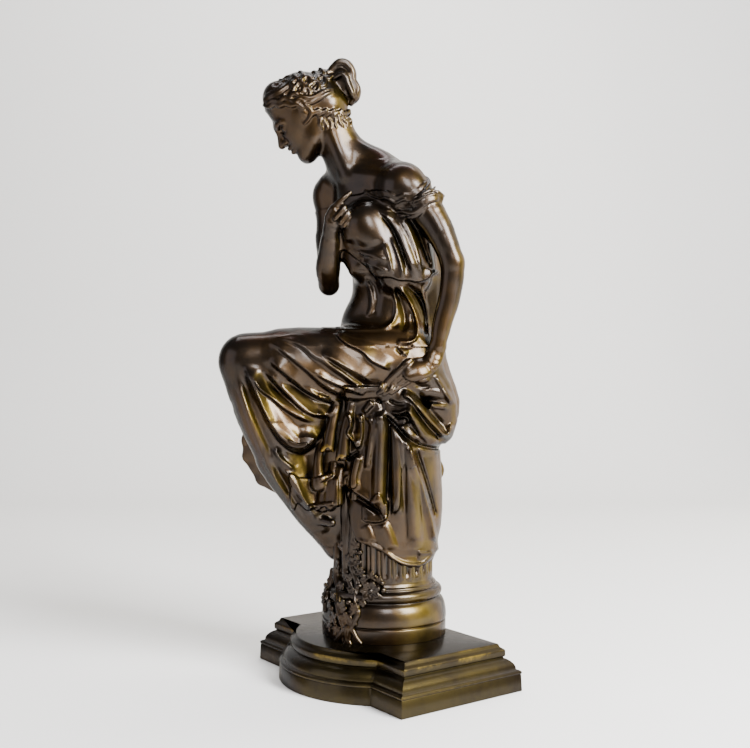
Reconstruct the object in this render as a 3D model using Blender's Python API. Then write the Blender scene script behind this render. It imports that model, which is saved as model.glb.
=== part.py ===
import math

import bpy
import bmesh
import numpy as np
from mathutils import Matrix, Vector

# Driving sizes in metres. The statue faces the front corner; the plinth's bow looks along -Y.
totalHeight = 0.620
plinthLength = 0.2482
plinthDepth = 0.1449
plinthHeight = 0.0446
bowRadius = 0.1055
touchGap = 0.0003
shaftRadius = 0.049
drumRadius = 0.062
footHeight = 0.0586
fluteCount = 28
fluteDepth = 0.0028
fluteRunOut = 0.007
clothGap = 0.0065

# The figure is drawn as the eye sees it, across and up in shares of its height; mm is one millimetre of a
# statue 620 mm high, so thickness, depth and carving grow with the height as well.
turn = math.radians(54)
drawingUnits = 613.7
unit = totalHeight / drawingUnits
mm = totalHeight / 620.0
eye = Vector((-9, -1067, 303)) * mm

# the column ends inside the seat
shaftTop = 262 * mm
voxelSize = 2.7 * mm
figureTriangles = 6650

for thing in list(bpy.data.objects):
    bpy.data.objects.remove(thing)


def spot(across, up, away=0.0):
    # a drawn point, moved along its sight line to the given distance behind the axis
    share = 1 + away * mm / -eye.y
    return Vector((eye.x + (across * unit - eye.x) * share, away * mm, eye.z + (up * unit - eye.z) * share))


def path(*rows):
    return [spot(*row) for row in rows]


def smoothPath(points, radii, every):
    q = [2 * points[0] - points[1]] + list(points) + [2 * points[-1] - points[-2]]
    outPoints = []
    outRadii = []
    for i in range(len(points) - 1):
        a, b, c, d = q[i], q[i + 1], q[i + 2], q[i + 3]
        count = max(1, math.ceil((c - b).length / every))
        for j in range(count):
            t = j / count
            p = 2 * b + (c - a) * t + (2 * a - 5 * b + 4 * c - d) * t * t + (3 * b - a - 3 * c + d) * t ** 3
            outPoints.append(p * 0.5)
            outRadii.append(radii[i] + (radii[i + 1] - radii[i]) * t * t * (3 - 2 * t))
    outPoints.append(points[-1])
    outRadii.append(radii[-1])
    return outPoints, outRadii


def objectFrom(name, data):
    thing = bpy.data.objects.new(name, data)
    bpy.context.scene.collection.objects.link(thing)
    return thing


def baked(thing):
    graph = bpy.context.evaluated_depsgraph_get()
    data = bpy.data.meshes.new_from_object(thing.evaluated_get(graph))
    bpy.data.objects.remove(thing)
    return data


class Clay:
    # loose closed shapes that a voxel remesh later fuses into one skin
    def __init__(self, start=None):
        self.mesh = bmesh.new()
        if start:
            self.mesh.from_mesh(start)

    def ball(self, centre, radii, forward=None, up=None):
        frame = Matrix.Identity(3)
        if forward is not None:
            f = Vector(forward).normalized()
            u = Vector(up)
            u = (u - f * f.dot(u)).normalized()
            frame = Matrix((f, u.cross(f), u)).transposed()
        size = Matrix.Diagonal(Vector(radii) * mm)
        matrix = Matrix.Translation(centre) @ (frame @ size).to_4x4()
        bmesh.ops.create_icosphere(self.mesh, subdivisions=3, radius=1.0, matrix=matrix)

    def roll(self, points, radii, every=6, thin=None):
        # a tapered roll along a smooth path with round ends; thin = (direction, share) flattens it
        way, sizes = smoothPath(points, [r * mm for r in radii], every * mm)
        curve = bpy.data.curves.new("roll", "CURVE")
        curve.dimensions = "3D"
        curve.bevel_depth = 1.0
        curve.bevel_resolution = 3
        curve.use_fill_caps = True
        spline = curve.splines.new("POLY")
        spline.points.add(len(way) - 1)
        for point, p, r in zip(spline.points, way, sizes):
            point.co = (p.x, p.y, p.z, 1.0)
            point.radius = r
        tube = baked(objectFrom("roll", curve))
        fresh = bmesh.new()
        fresh.from_mesh(tube)
        bpy.data.meshes.remove(tube)
        bmesh.ops.remove_doubles(fresh, verts=fresh.verts, dist=1e-7)
        for p, r in ((way[0], sizes[0]), (way[-1], sizes[-1])):
            bmesh.ops.create_icosphere(fresh, subdivisions=2, radius=r, matrix=Matrix.Translation(p))
        if thin:
            axis = Vector(thin[0]).normalized()
            for v in fresh.verts:
                near = min(way, key=lambda p: (p - v.co).length_squared)
                v.co -= axis * (v.co - near).dot(axis) * (1 - thin[1])
        rolled = bpy.data.meshes.new("rolled")
        fresh.to_mesh(rolled)
        fresh.free()
        self.mesh.from_mesh(rolled)
        bpy.data.meshes.remove(rolled)

    def drape(self, first, last, reach, hem, top, steps=96, rows=14):
        # cloth hung round the column from one angle to another: reach(angle, up) and hem(angle) shape it
        columns = []
        for k in range(steps + 1):
            angle = first + (last - first) * k / steps
            low = hem(angle)
            outer = []
            for j in range(rows + 1):
                up = low + (top - low) * j / rows
                outer.append(self.mesh.verts.new(around(angle, reach(angle, up), up)))
            inner = [self.mesh.verts.new(around(angle, -9, up)) for up in (top, low)]
            columns.append(outer + inner)
        count = len(columns[0])
        for a, b in zip(columns, columns[1:]):
            for j in range(count):
                n = (j + 1) % count
                self.mesh.faces.new((a[j], b[j], b[n], a[n]))
        self.mesh.faces.new(columns[0])
        self.mesh.faces.new(list(reversed(columns[-1])))

    def fuse(self, voxel, rounds):
        bmesh.ops.recalc_face_normals(self.mesh, faces=self.mesh.faces)
        data = bpy.data.meshes.new("clay")
        self.mesh.to_mesh(data)
        self.mesh.free()
        helper = objectFrom("clay", data)
        remesh = helper.modifiers.new("Fuse", "REMESH")
        remesh.mode = "VOXEL"
        remesh.voxel_size = voxel
        soften = helper.modifiers.new("Soften", "SMOOTH")
        soften.factor = 0.5
        soften.iterations = rounds
        return keepOuterShell(baked(helper))


def keepOuterShell(data):
    # trapped bubbles inside the skin are dropped
    work = bmesh.new()
    work.from_mesh(data)
    left = set(work.verts)
    shells = []
    while left:
        seed = left.pop()
        shell = {seed}
        queue = [seed]
        while queue:
            v = queue.pop()
            for e in v.link_edges:
                other = e.other_vert(v)
                if other in left:
                    left.remove(other)
                    shell.add(other)
                    queue.append(other)
        shells.append(shell)
    shells.sort(key=len, reverse=True)
    for shell in shells[1:]:
        bmesh.ops.delete(work, geom=list(shell), context="VERTS")
    work.to_mesh(data)
    work.free()
    return data


def around(angle, off, up):
    # a point off millimetres outside the column's shaft, angles in degrees from the viewer's side
    a = math.radians(angle)
    reach = shaftRadius + off * mm
    return Vector((reach * math.sin(a), -reach * math.cos(a), up * mm))


def curveOf(points):
    # a height read off straight lines between drawn points
    xs = [p[0] for p in points]
    ys = [p[1] for p in points]
    return lambda x: np.interp(x, xs, ys)


# Body under the cloth
clay = Clay()
faceWay = (-0.72, -0.69, 0.0)
clay.ball(spot(8, 436, 4), (35, 47, 57), faceWay, (-0.18, 0, 1))
clay.ball(spot(8, 368, 4), (37, 43, 48), (-0.9, -0.43, 0), (0, 0, 1))
clay.ball(spot(12, 322, 0), (46, 55, 35))
clay.roll(path((-14, 346, 0), (2, 350, 0)), [28, 32])
clay.roll(path((12, 340, 4), (11, 374, 4), (4, 424, 4), (-4, 466, 3)), [38, 36, 36, 30])
clay.ball(spot(-12, 480, 2), (28, 43, 24), faceWay, (-0.25, 0.1, 1))
clay.roll(path((-52, 545, 0), (-43, 525, 1), (-31, 504, 2), (-14, 484, 4)), [17, 17, 19.5, 24])
clay.roll(path((-32, 519, 4), (-5, 507, -8), (14, 490, -27)), [14, 16, 18])
clay.roll(path((-34, 512, 6), (-42, 496, 20), (-50, 480, 34)), [13, 14, 16])
clay.ball(spot(19, 487, -36), (21, 21, 22))
clay.ball(spot(-49, 475, 36), (18, 19, 20))
for across, up, away, wide in ((-17, 445, -33, 20), (-37, 441, -8, 18)):
    clay.ball(spot(across, up, away), (wide, wide, wide))
clay.roll(path((-8, 432, -38), (2, 412, -42), (10, 396, -42)), [16, 16, 14])
clay.roll(path((20, 442, -32), (26, 418, -34), (30, 398, -34)), [16, 18, 18])
clay.roll(path((-32, 424, -12), (-24, 408, -22)), [15, 13])

# Head with a plain face of its own, bowed and seen from the side
headForward = Vector((-0.80, 0.0, -0.60))
headUp = Vector((-0.60, 0.0, 0.80))
headCentre = spot(-77, 562, 0)


def headSpot(forward, side, up):
    return headCentre + (headForward * forward + Vector((0, -1, 0)) * side + headUp * up) * mm


clay.ball(headSpot(-1, 0, 4), (34, 28.5, 37), headForward, headUp)
clay.ball(headSpot(14, 0, -12), (21.5, 22.5, 28.5), headForward, headUp)
clay.ball(headSpot(26, 0, -34), (9, 10, 8), headForward, headUp)
clay.roll([headSpot(32, 0, 8), headSpot(37, 0, -4), headSpot(41, 0, -12)], [3.4, 3.8, 4.4])
clay.roll([headSpot(31, -7, -22), headSpot(36, 0, -21.5), headSpot(31, 7, -22)], [3, 3.6, 3])
clay.roll([headSpot(28, -16, 4), headSpot(33, -6, 5.5), headSpot(33, 6, 5.5), headSpot(28, 16, 4)],
    [3, 3.6, 3.6, 3])
clay.ball(headSpot(-19, 0, -8), (20, 26, 22), headForward, headUp)
clay.roll([headSpot(-20, 0, -7), headSpot(-25, 0, 5), headSpot(-33, 0, 17)], [21, 17, 11])

# Cloth over the thighs and shins, hung between the knees and filled in behind down to the column
nearKnee = (-137, 310)
farKnee = (-121, 305)
clay.roll(path((20, 306, -26), (-24, 309, -34), (-82, 313, -37), (*nearKnee, -36)), [34.5, 35, 30.5, 25])
clay.roll(path((20, 306, 28), (-24, 308, 32), (-74, 311, 34), (*farKnee, 34)), [36, 34, 28, 23])
clay.roll(path((*nearKnee, -36), (-128, 266, -36), (-109, 222, -30), (-78, 172, -20), (-46, 132, -8)),
          [24.5, 24, 22, 18, 14])
clay.roll(path((*farKnee, 34), (-116, 262, 34), (-99, 220, 28), (-72, 170, 18), (-42, 132, 10)),
          [23, 22, 20, 18, 15])
clay.roll(path((-112, 300, 0), (-110, 262, 0), (-92, 216, 0), (-62, 166, 0), (-38, 132, 0)),
          [24, 25, 24, 20, 16])
clay.roll(path((-114, 290, 0), (-86, 236, 0), (-54, 176, 0)), [26, 32, 26])
clay.roll(path((-54, 284, 0), (-40, 226, 0), (-32, 170, 0)), [42, 40, 30])
clay.roll(path((16, 300, 0), (4, 262, 0), (0, 220, 0)), [46, 48, 47])

# Hem of the skirt standing out behind the shin, and two cloth ends behind the wrist and the column
hemBehind = [(-131, 252, 26), (-139, 243, 28), (-142, 233, 29), (-140.5, 223, 29), (-141, 215, 29),
    (-134, 207, 28),
             (-130, 199, 27), (-126, 192, 26), (-119, 188, 25), (-111, 184.5, 24), (-101, 178, 22)]
for a, u, y in hemBehind:
    clay.roll(path((a + 2, u, y), (a + 16, u + 7, y - 4), (a + 32, u + 10, y - 14)), [3.6, 7, 10])
clay.roll(path((50, 304, 14), (56, 292, 12), (54, 280, 10)), [8, 8, 8])
clay.roll(path((50, 216, 20), (54.5, 204, 18), (51, 192, 16)), [5, 5.5, 4])

# Cloth down the back, and the bunched cloth at the hip
clay.roll(path((30, 452, -6), (37, 430, -4), (40, 400, -2), (39, 350, 0), (34, 300, 4)),
    [15, 18, 21, 21, 23])
clay.roll(path((8, 440, 34), (18, 390, 36), (26, 340, 36), (30, 300, 36)), [15, 17, 21, 24])
clay.roll(path((22, 430, 14), (26, 370, 16), (28, 310, 18)), [24, 26, 28])
clay.roll(path((24, 300, -34), (46, 290, -30), (58, 268, -22), (56, 244, -16), (36, 236, -34)),
    [17, 18, 16, 15, 14])
clay.roll(path((46, 300, -10), (58, 272, 6), (54, 244, 12)), [18, 16, 14])
clay.roll(path((10, 282, -46), (26, 262, -48), (44, 240, -38)), [13, 14, 11])

# Cloth that falls over the column: a sheath with its own hem and, in front, an upper layer with a slanting
# hem
lowHem = curveOf([(-62, 168), (-44, 150), (-34, 140), (-20, 132), (-8, 126), (4, 121), (14, 113),
    (30, 110), (46, 111), (60, 117),
                  (76, 126), (110, 132), (180, 128), (240, 134), (292, 150)])
topHem = curveOf([(-48, 190), (-34, 182), (-22, 175), (-10, 168), (2, 160), (8, 160)])


def sheathReach(angle, up):
    fold = 1.9 * math.sin(math.radians(angle) * 11 + up / 40) + 1.0 * math.sin(math.radians(angle) * 17 + 1)
    calm = 0.35 if -60 < angle < 75 else 1.0
    flare = 2.5 * max(0.0, (up - 225) / 40) + 2.0 * math.exp(-((up - 175) / 45) ** 2) * (angle > 30)
    tuck = 14.0 * max(0.0, (up - 240) / 30) ** 2 if calm == 1.0 else 0.0
    return clothGap / mm + fold * calm + flare - tuck


clay.drape(-62, 292, sheathReach, lowHem, 270)
clay.drape(-48, 4, lambda angle, up: clothGap / mm + 4.5 + 1.5 * math.cos(math.radians(angle * 14)),
    topHem, 262, 30, 10)
clay.roll(path((0, 285, 0), (0, 160, 0)), [47, 47])

# Bunched tubes and sheets at the left, between the leg and the column
for top, middle, foot, wide in (((-47, 270, -44), (-52.5, 246, -47), (-56.5, 226, -48), 5.6),
    ((-33, 268, -50), (-39, 242, -52), (-42, 217, -52), 5.4),
                                ((-62, 236, -38), (-66, 212, -42), (-65, 192, -42), 4.8)):
    clay.roll(path(top, middle, foot), [4.6, wide, wide + 1.6])
for a, top, foot, y in ((-74, 226, 168, -22), (-67, 214, 167, -30), (-59.5, 210, 168, -36),
    (-52.5, 208, 169, -41), (-46, 204, 172, -45)):
    clay.roll(path((a + 3, top, y + 6), (a + 0.6, (top + foot) / 2, y), (a - 0.5, foot, y - 1)),
        [5.2, 5.2, 5.8])
clay.roll(path((-76, 162, -20), (-66, 155, -28), (-52, 151, -38)), [4, 5, 4])
clay.roll(path((-70, 156, -18), (-60, 148, -26)), [5, 5])

body = clay.fuse(voxelSize, 5)

# Relief of the cloth, drawn from the viewer's side: ridges (and valleys, where the height is below zero)
# with their
# height in mm and the widths over which they fall away on their left and right as the line runs
lapFolds = [
    ([(-112, 339), (-92, 333), (-70, 318), (-50, 306), (-30, 291), (-17, 280)], 4.0, 9, 5),
    ([(-66, 319), (-45, 306), (-25, 292), (-10, 283)], -5.5, 4.5, 4),
    ([(-60, 318), (-40, 308), (-20, 297), (-9, 290)], 4.5, 11, 3),
    ([(-50, 342), (-34, 328), (-20, 321), (-8, 310), (7, 303)], 4.5, 12, 2.5),
    ([(-46, 336), (-26, 322), (-14, 311), (3, 303)], -4.0, 2.5, 5),
    ([(-118, 333), (-95, 318), (-75, 302), (-55, 286), (-34, 274)], 4.2, 7, 6),
    ([(-72, 303), (-50, 290), (-30, 282), (-17, 278)], 4.0, 8, 3),
    ([(-116, 321), (-98, 306), (-78, 290), (-58, 278), (-46, 274)], -5.0, 6, 5),
    ([(-116, 317), (-100, 301), (-80, 285), (-60, 275), (-41, 271)], 6.0, 3.5, 9),
    ([(-108, 299), (-97, 287), (-82, 273), (-62, 266), (-54, 267)], -4.5, 8, 6),
    ([(-108, 295), (-98, 281), (-86, 269), (-74, 260), (-59, 258), (-46, 264)], 6.5, 4, 5.5),
    ([(-136, 304), (-126, 288), (-112, 277), (-95, 264), (-75, 254), (-67, 253)], 6.0, 4, 6),
    ([(-106, 264), (-98, 250), (-88, 242), (-74, 245), (-66, 252)], -6.5, 13, 10),
    ([(-139, 311), (-131, 289), (-123, 271), (-114, 252), (-103, 236), (-91, 226), (-80, 226), (-69, 236),
        (-61, 245)], 7.0, 5, 8),
    ([(-108, 229), (-107, 221), (-100, 213), (-88, 203)], 3.5, 5, 5),
    ([(-148, 306), (-143, 280), (-135, 256), (-126, 232), (-119, 214), (-106, 190), (-88, 165)], 4.0, 5, 5),
    ([(-141, 300), (-134, 274), (-123, 246), (-106, 212)], -5.0, 5, 5),
    ([(-112, 216), (-102, 196), (-88, 172), (-72, 150)], -3.5, 6, 6),
    ([(-100, 206), (-88, 188), (-76, 168), (-64, 150)], 3.3, 6, 6),
]
fallFolds = [
    ([(-37, 262), (-34, 250), (-37, 241), (-31, 233), (-25, 224)], 4.0, 6, 3),
    ([(-20, 257), (-11, 250), (-12, 237), (-14, 215), (-15, 204)], 4.2, 4.5, 3),
    ([(-22, 225), (-27, 206), (-30, 192), (-27, 184)], 3.5, 4, 4),
    ([(-9, 235), (-9, 210), (-9, 172)], -3.8, 6, 6),
    ([(1.5, 262), (1, 230), (-1, 200), (-3, 163)], 5.5, 5, 6),
    ([(6, 258), (5.5, 220), (4, 170)], -3.6, 4, 4),
    ([(9, 254), (11.5, 222), (13, 175)], 3.6, 6, 5),
    ([(17, 240), (21, 200), (23, 150), (23, 122)], -4.2, 7, 7),
    ([(19, 242), (26, 216), (30, 180), (35, 142), (36, 126)], 5.0, 8, 6),
    ([(26, 229), (38, 190), (48, 155), (52.5, 130)], 5.0, 3, 7),
    ([(31, 226), (43, 190), (52, 155)], -4.0, 5, 3),
    ([(-4, 150), (2, 140), (8, 122)], 2.6, 7, 7),
]
hipFolds = [
    ([(16, 280), (29, 272), (40, 260), (52, 247), (61, 238), (67, 246), (65, 252)], 5.5, 5, 4.5),
    ([(36, 275), (48, 260), (60, 247)], -5.0, 6, 5),
    ([(28, 268), (40, 253), (52, 239), (57, 233)], -5.5, 4, 5),
    ([(20, 270), (28, 259), (35, 244), (47, 232)], 4.4, 4, 4),
    ([(34, 279), (54, 279), (69, 269)], 3.6, 4, 3),
    ([(42, 274), (61, 274)], -3.4, 3, 3),
    ([(0, 260), (14, 246), (28, 232), (48, 226), (61, 231)], -6.0, 3, 5),
]
chestFolds = [
    ([(-10, 466), (2, 454), (11, 439), (18, 419), (27, 393)], 3.2, 4, 3.5),
    ([(-4, 470), (10, 456), (20, 440), (30, 420), (41, 396)], 3.4, 5, 4),
    ([(6, 438), (12, 424), (17, 408), (19, 395)], 2.6, 3.5, 3),
    ([(0, 460), (14, 444), (22, 425), (33, 395)], -2.8, 3.5, 3.5),
    ([(-38, 436), (-31, 429), (-20, 424), (-8, 426), (1, 433)], -4.0, 5, 4),
    ([(12, 391), (24, 375), (31, 360), (34, 345), (32, 334)], 4.0, 5, 4),
    ([(8, 390), (17, 372), (21, 355), (18, 340)], -3.4, 5, 5),
    ([(7, 392), (11, 378), (12, 364), (8, 352), (-4, 345)], 3.4, 4, 4),
    ([(-20, 398), (-14, 384), (-13, 368), (-18, 355)], 3.0, 4, 4),
    ([(20, 392), (34, 378), (42, 360), (43, 335)], -3.0, 4, 4),
]
farFolds = [
    ([(-110, 322), (-70, 330), (-20, 326), (20, 312)], 3.0, 8, 6),
    ([(-112, 300), (-70, 306), (-24, 300), (14, 286)], 3.4, 8, 6),
    ([(-116, 290), (-106, 240), (-84, 196), (-52, 150)], 3.4, 7, 6),
    ([(-102, 290), (-90, 240), (-68, 196), (-44, 156)], -3.4, 7, 6),
    ([(-88, 284), (-74, 244), (-54, 206), (-34, 170)], 3.0, 7, 6),
    ([(-70, 282), (-54, 254), (-34, 236), (-8, 228)], 3.4, 7, 6),
    ([(6, 440), (12, 390), (16, 340), (18, 290)], 3.0, 6, 6),
    ([(22, 440), (28, 390), (32, 340), (34, 290)], -3.0, 6, 6),
    ([(34, 430), (40, 390), (42, 340), (44, 290)], 2.6, 6, 6),
]
neckLine = curveOf([(-70, 455), (-50, 460), (-44, 470), (-36, 472), (-24, 474), (-12, 478), (5, 477),
    (12, 473), (26, 473), (37, 480), (48, 494)])
overfoldHem = curveOf([(-40, 424), (-22, 412), (-9, 398), (7, 396), (18, 394), (30, 392), (43, 394),
    (54, 403), (64, 410)])


def creaseHeight(across, up, line):
    # how far one drawn fold lifts each point
    points, high, left, right = line
    flat, _ = smoothPath([Vector((a, u, 0.0)) for a, u in points], [0] * len(points), 4.0)
    flat = np.array([(p.x, p.y) for p in flat])
    lengths = np.concatenate([[0], np.cumsum(np.linalg.norm(np.diff(flat, axis=0), axis=1))])
    best = np.full(len(across), 1e9)
    side = np.zeros(len(across))
    along = np.zeros(len(across))
    for i in range(len(flat) - 1):
        e = flat[i + 1] - flat[i]
        t = np.clip(((across - flat[i][0]) * e[0] + (up - flat[i][1]) * e[1]) / (e @ e), 0, 1)
        dx = across - flat[i][0] - t * e[0]
        dy = up - flat[i][1] - t * e[1]
        gap = np.hypot(dx, dy)
        closer = gap < best
        best = np.where(closer, gap, best)
        side = np.where(closer, e[0] * dy - e[1] * dx, side)
        along = np.where(closer, lengths[i] + t * np.hypot(*e), along)
    wide = np.where(side > 0, left, right) * 1.15
    share = np.clip(1 - best / wide, 0, 1) ** 1.3
    ends = np.clip(np.minimum(along, lengths[-1] - along) / (lengths[-1] * 0.18), 0, 1)
    return high * share * ends * ends * (3 - 2 * ends)


def rise(x):
    x = np.clip(x, 0, 1)
    return x * x * (3 - 2 * x)


def readArray(data, what):
    flat = np.empty(len(data.vertices) * 3)
    data.vertices.foreach_get(what, flat)
    return flat.reshape(-1, 3)


def shapeFolds(data):
    where = readArray(data, "co")
    normals = readArray(data, "normal")
    share = 1 + where[:, 1] / -eye.y
    across = (eye.x + (where[:, 0] - eye.x) / share) / unit
    up = (eye.z + (where[:, 2] - eye.z) / share) / unit
    front = np.clip((14 - where[:, 1] / mm) / 16, 0, 1)
    front = front * np.clip(-normals[:, 1] * 3 + 0.6, 0, 1)
    behind = np.clip((where[:, 1] / mm - 6) / 12, 0, 1) * np.clip(normals[:, 1] * 3 + 0.6, 0, 1)
    lift = np.zeros(len(where))
    for line in lapFolds + fallFolds + hipFolds + chestFolds:
        lift += creaseHeight(across, up, line)
    lift *= front
    for line in farFolds:
        lift += creaseHeight(across, up, line) * behind
    # the overfold is a second layer above its own hem; the dress ends at the neckline
    dressed = rise((neckLine(across) - up) / 2.5 + 0.5) * (up > 340)
    lift += 1.8 * dressed * (up > 380)
    lift += 4.2 * rise((up - overfoldHem(across)) / 3 + 0.5) * dressed * (across > -48) * (up < 500)
    where = where + normals * (lift * mm)[:, None]
    data.vertices.foreach_set("co", where.ravel())
    data.update()


shapeFolds(body)
clay = Clay(body)

# Near arm, straight down to the hand on the cloth
clay.roll(path((27, 481, -42), (42, 464, -46), (53.5, 447, -51), (62.5, 428, -54), (68.5, 411, -54)),
    [19, 17, 15, 13, 11.4])
clay.roll(path((68.5, 412, -54), (68.5, 398, -53), (65, 375, -51), (58, 350, -51), (54, 328, -52)),
    [11.4, 11.6, 10.9, 9.9, 8.2])
palm = Vector((0.30, -0.80, 0.52))
clay.roll(path((54, 328, -52), (49.5, 314, -56), (38, 306.5, -65), (27, 302, -67)), [8.6, 9.6, 11.6, 10.6],
    thin=(palm, 0.62))
for k in range(4):
    clay.roll(path((24 + 1.8 * k, 310 - 4.6 * k, -70 + 1.5 * k),
        (10 + 2.2 * k, 299 - 3.6 * k, -73 + 2.0 * k), (-4 + 3.6 * k, 285.5 - 1.6 * k, -70 + 2.0 * k)),
              [3.9, 3.5, 2.7])

# Far arm, bent up with the hand at the breast, in its short sleeve
clay.roll(path((-50, 474, 36), (-53, 446, 28), (-55, 414, 12), (-55, 391, 0)), [17, 14, 12, 10])
clay.roll(path((-55, 388, -2), (-56, 406, -14), (-54, 428, -28), (-53, 444, -38)), [10, 12.4, 10.4, 8])
clay.roll(path((-47.5, 476, 34), (-49.5, 456, 30), (-51.5, 434, 24), (-55, 420, 20)),
    [19.5, 18.5, 16.5, 12])
clay.roll(path((-53, 444, -38), (-50, 454, -42), (-46, 462, -44)), [8, 10.4, 9.8],
    thin=((0.45, -0.80, 0.35), 0.7))
clay.roll(path((-52, 462, -44), (-47, 469, -47), (-40, 476, -48), (-34, 481, -47)), [4.8, 3.9, 3.4, 2.8])
for tip, root in (((-49, 455), (-40, 466)), ((-44, 450), (-36, 460)), ((-40, 446), (-33, 456))):
    clay.roll(path((root[0] - 5, root[1] + 1, -45), (*root, -49.5), (*tip, -51.5)), [3.4, 3.4, 2.8])

# Gathered sleeve slipped down from the near shoulder, and the rolled edge of the neckline
for k in range(4):
    drop = 1.5 - 4.0 * k
    clay.roll(path((26 + 1.5 * k, 472.5 + drop * 0.7, -62), (34 + k, 475 + drop * 0.8, -65.5),
        (44, 478 + drop, -65), (53, 479.5 + drop, -60),
                   (59.5 - 0.5 * k, 476 + drop * 0.8, -51), (60 - 0.5 * k, 474 + drop * 0.6, -40)),
                       [1.5, 2.2, 2.6, 2.6, 2.4, 1.8])
clay.roll(path((30, 476, -63), (38, 481, -61), (43, 486, -57), (46, 491, -50), (43, 496, -42)),
    [1.6, 2.0, 2.2, 2.4, 2.2])

# Hair: rows of curls over the crown, a ribbon, a braid to the nape and the knot
def onHead(turnUp, sideways, lift):
    # a point on the hair: angle up from the face way, angle towards the side, height over the surface
    t = math.radians(turnUp)
    s = math.radians(sideways)
    return headSpot(-1 + (34 + lift) * math.cos(s) * math.cos(t), (28.5 + lift) * math.sin(s),
                    4 + (37 + lift) * math.cos(s) * math.sin(t))


for row, turnUp in enumerate((24, 58, 78, 98, 118)):
    for k in range(-3, 4):
        sideways = k * 23 + (row % 2) * 11
        if abs(sideways) < 76:
            clay.ball(onHead(turnUp, sideways, -1.2), (5.4, 5.4, 5.4))
for side in (-1, 1):
    for turnUp, low in ((0, 70), (-24, 74)):
        clay.ball(onHead(turnUp, side * low, -1.6), (5.0, 5.0, 5.0))
    for k in range(7):
        t = k / 6
        clay.ball(headSpot(-5 - 28 * t, side * 26 * math.cos(t * 1.35), -5 - 18 * t), (3.4, 3.4, 3.4))
    for k in range(5):
        t = k / 4
        clay.roll([headSpot(-8 - 22 * t, side * 24 * math.cos(t * 1.3), -9 - 15 * t),
                   headSpot(-7 - 20 * t, side * 22 * math.cos(t * 1.3), -20 - 13 * t)], [3, 2.2])
    clay.roll([headSpot(4, side * 27, 4), headSpot(-1, side * 28, 2), headSpot(-3, side * 28, -5),
               headSpot(1, side * 27, -12)], [2.2, 2.4, 2.3, 2.0])
clay.roll([onHead(42, k * 22, 0.3) for k in range(-4, 5)], [3.0] * 9)
clay.roll(path((-50, 594, 1), (-42, 587, 1), (-35, 575, 1)), [9, 10, 5.5])
clay.ball(spot(-39, 594, 1), (15, 10.5, 8.5), (0.62, 0, -0.78), (0.78, 0, 0.62))
knotLine = path((-56, 597, 0), (-50, 604, 0), (-43.5, 609, 0), (-37.5, 607.5, 0), (-33.5, 600, 0),
    (-32, 592, 0), (-28.5, 584, 0), (-28.5, 577, 0), (-33, 570, 0))
for side in (-1, 0, 1):
    shifted = [p + Vector((0, side * 5.5 * mm, 0)) for p in knotLine]
    clay.roll(shifted, [3.4, 4.4, 5.4, 5.6, 5.2, 4.8, 5.0, 4.4, 2.6])

# Ivy climbing the flutes, with leaves spread on the shaft and on the column's foot
for k, (start, top) in enumerate([(-18, 150), (-34, 152), (-50, 148)]):
    clay.roll([around(start - 22, 2, 50), around(start - 8 * math.sin(k * 2.0), 0.5, 84),
               around(start + 6, 0.5, 118), around(start, 1, top)], [3.4, 3.2, 3.0, 2.6])
leafSpots = [(-12, 86, 10), (-44, 64, 8), (-30, 124, 9), (-66, 84, 8), (-76, 66, 8), (-52, 106, 8),
    (-38, 96, 7),
             (-60, 128, 8), (-84, 106, 8), (-24, 106, 6)]
for k, (angle, up, wide) in enumerate(leafSpots):
    away = (around(angle, 5, 0) - around(angle, 0, 0)).normalized()
    tilt = Vector((math.cos(k * 2.1), 0, math.sin(k * 2.1) + 0.6))
    clay.ball(around(angle, 3.5 + (up < 92) * 8.5, up), (5.0, wide * 0.8, wide), away, tilt)

figure = clay.fuse(voxelSize, 1)

draft = objectFrom("draft", figure)
thin = draft.modifiers.new("Thin", "DECIMATE")
thin.ratio = figureTriangles / (2.0 * len(figure.polygons))
thin.use_collapse_triangulate = True
figure = baked(draft)
figure.transform(Matrix.Rotation(turn, 4, "Z"))


def lathe(profile, sides):
    # a closed turned solid from (radius, height) pairs, listed from the bottom up
    work = bmesh.new()
    rings = []
    for r, z in profile:
        ring = [work.verts.new((r * math.cos(math.tau * k / sides), r * math.sin(math.tau * k / sides), z))
                for k in range(sides)]
        rings.append(ring)
    for low, high in zip(rings, rings[1:]):
        for k in range(sides):
            n = (k + 1) % sides
            work.faces.new((low[k], low[n], high[n], high[k]))
    work.faces.new(list(reversed(rings[0])))
    work.faces.new(rings[-1])
    bmesh.ops.recalc_face_normals(work, faces=work.faces)
    return work


def finish(work, name):
    data = bpy.data.meshes.new(name)
    work.to_mesh(data)
    work.free()
    return data


foot = plinthHeight + touchGap
# The column's foot, turned: drum, torus and a small ring under the flutes. Each row is the share of the
# way from
# the shaft out to the drum, and the share of the foot's height
footRows = [
    (1.000, 0.000),
    (1.000, 0.215),
    (0.908, 0.237),
    (1.038, 0.261),
    (1.038, 0.295),
    (0.985, 0.360),
    (0.938, 0.437),
    (0.800, 0.599),
    (0.523, 0.710),
    (0.231, 0.778),
    (0.154, 0.812),
    (0.292, 0.848),
    (0.246, 0.892),
    (0.062, 0.930),
    (0.000, 1.000),
]
flare = drumRadius - shaftRadius
baseProfile = [(shaftRadius + flare * out, foot + footHeight * level) for out, level in footRows]
columnBase = finish(lathe(baseProfile, 48), "columnBase")


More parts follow.
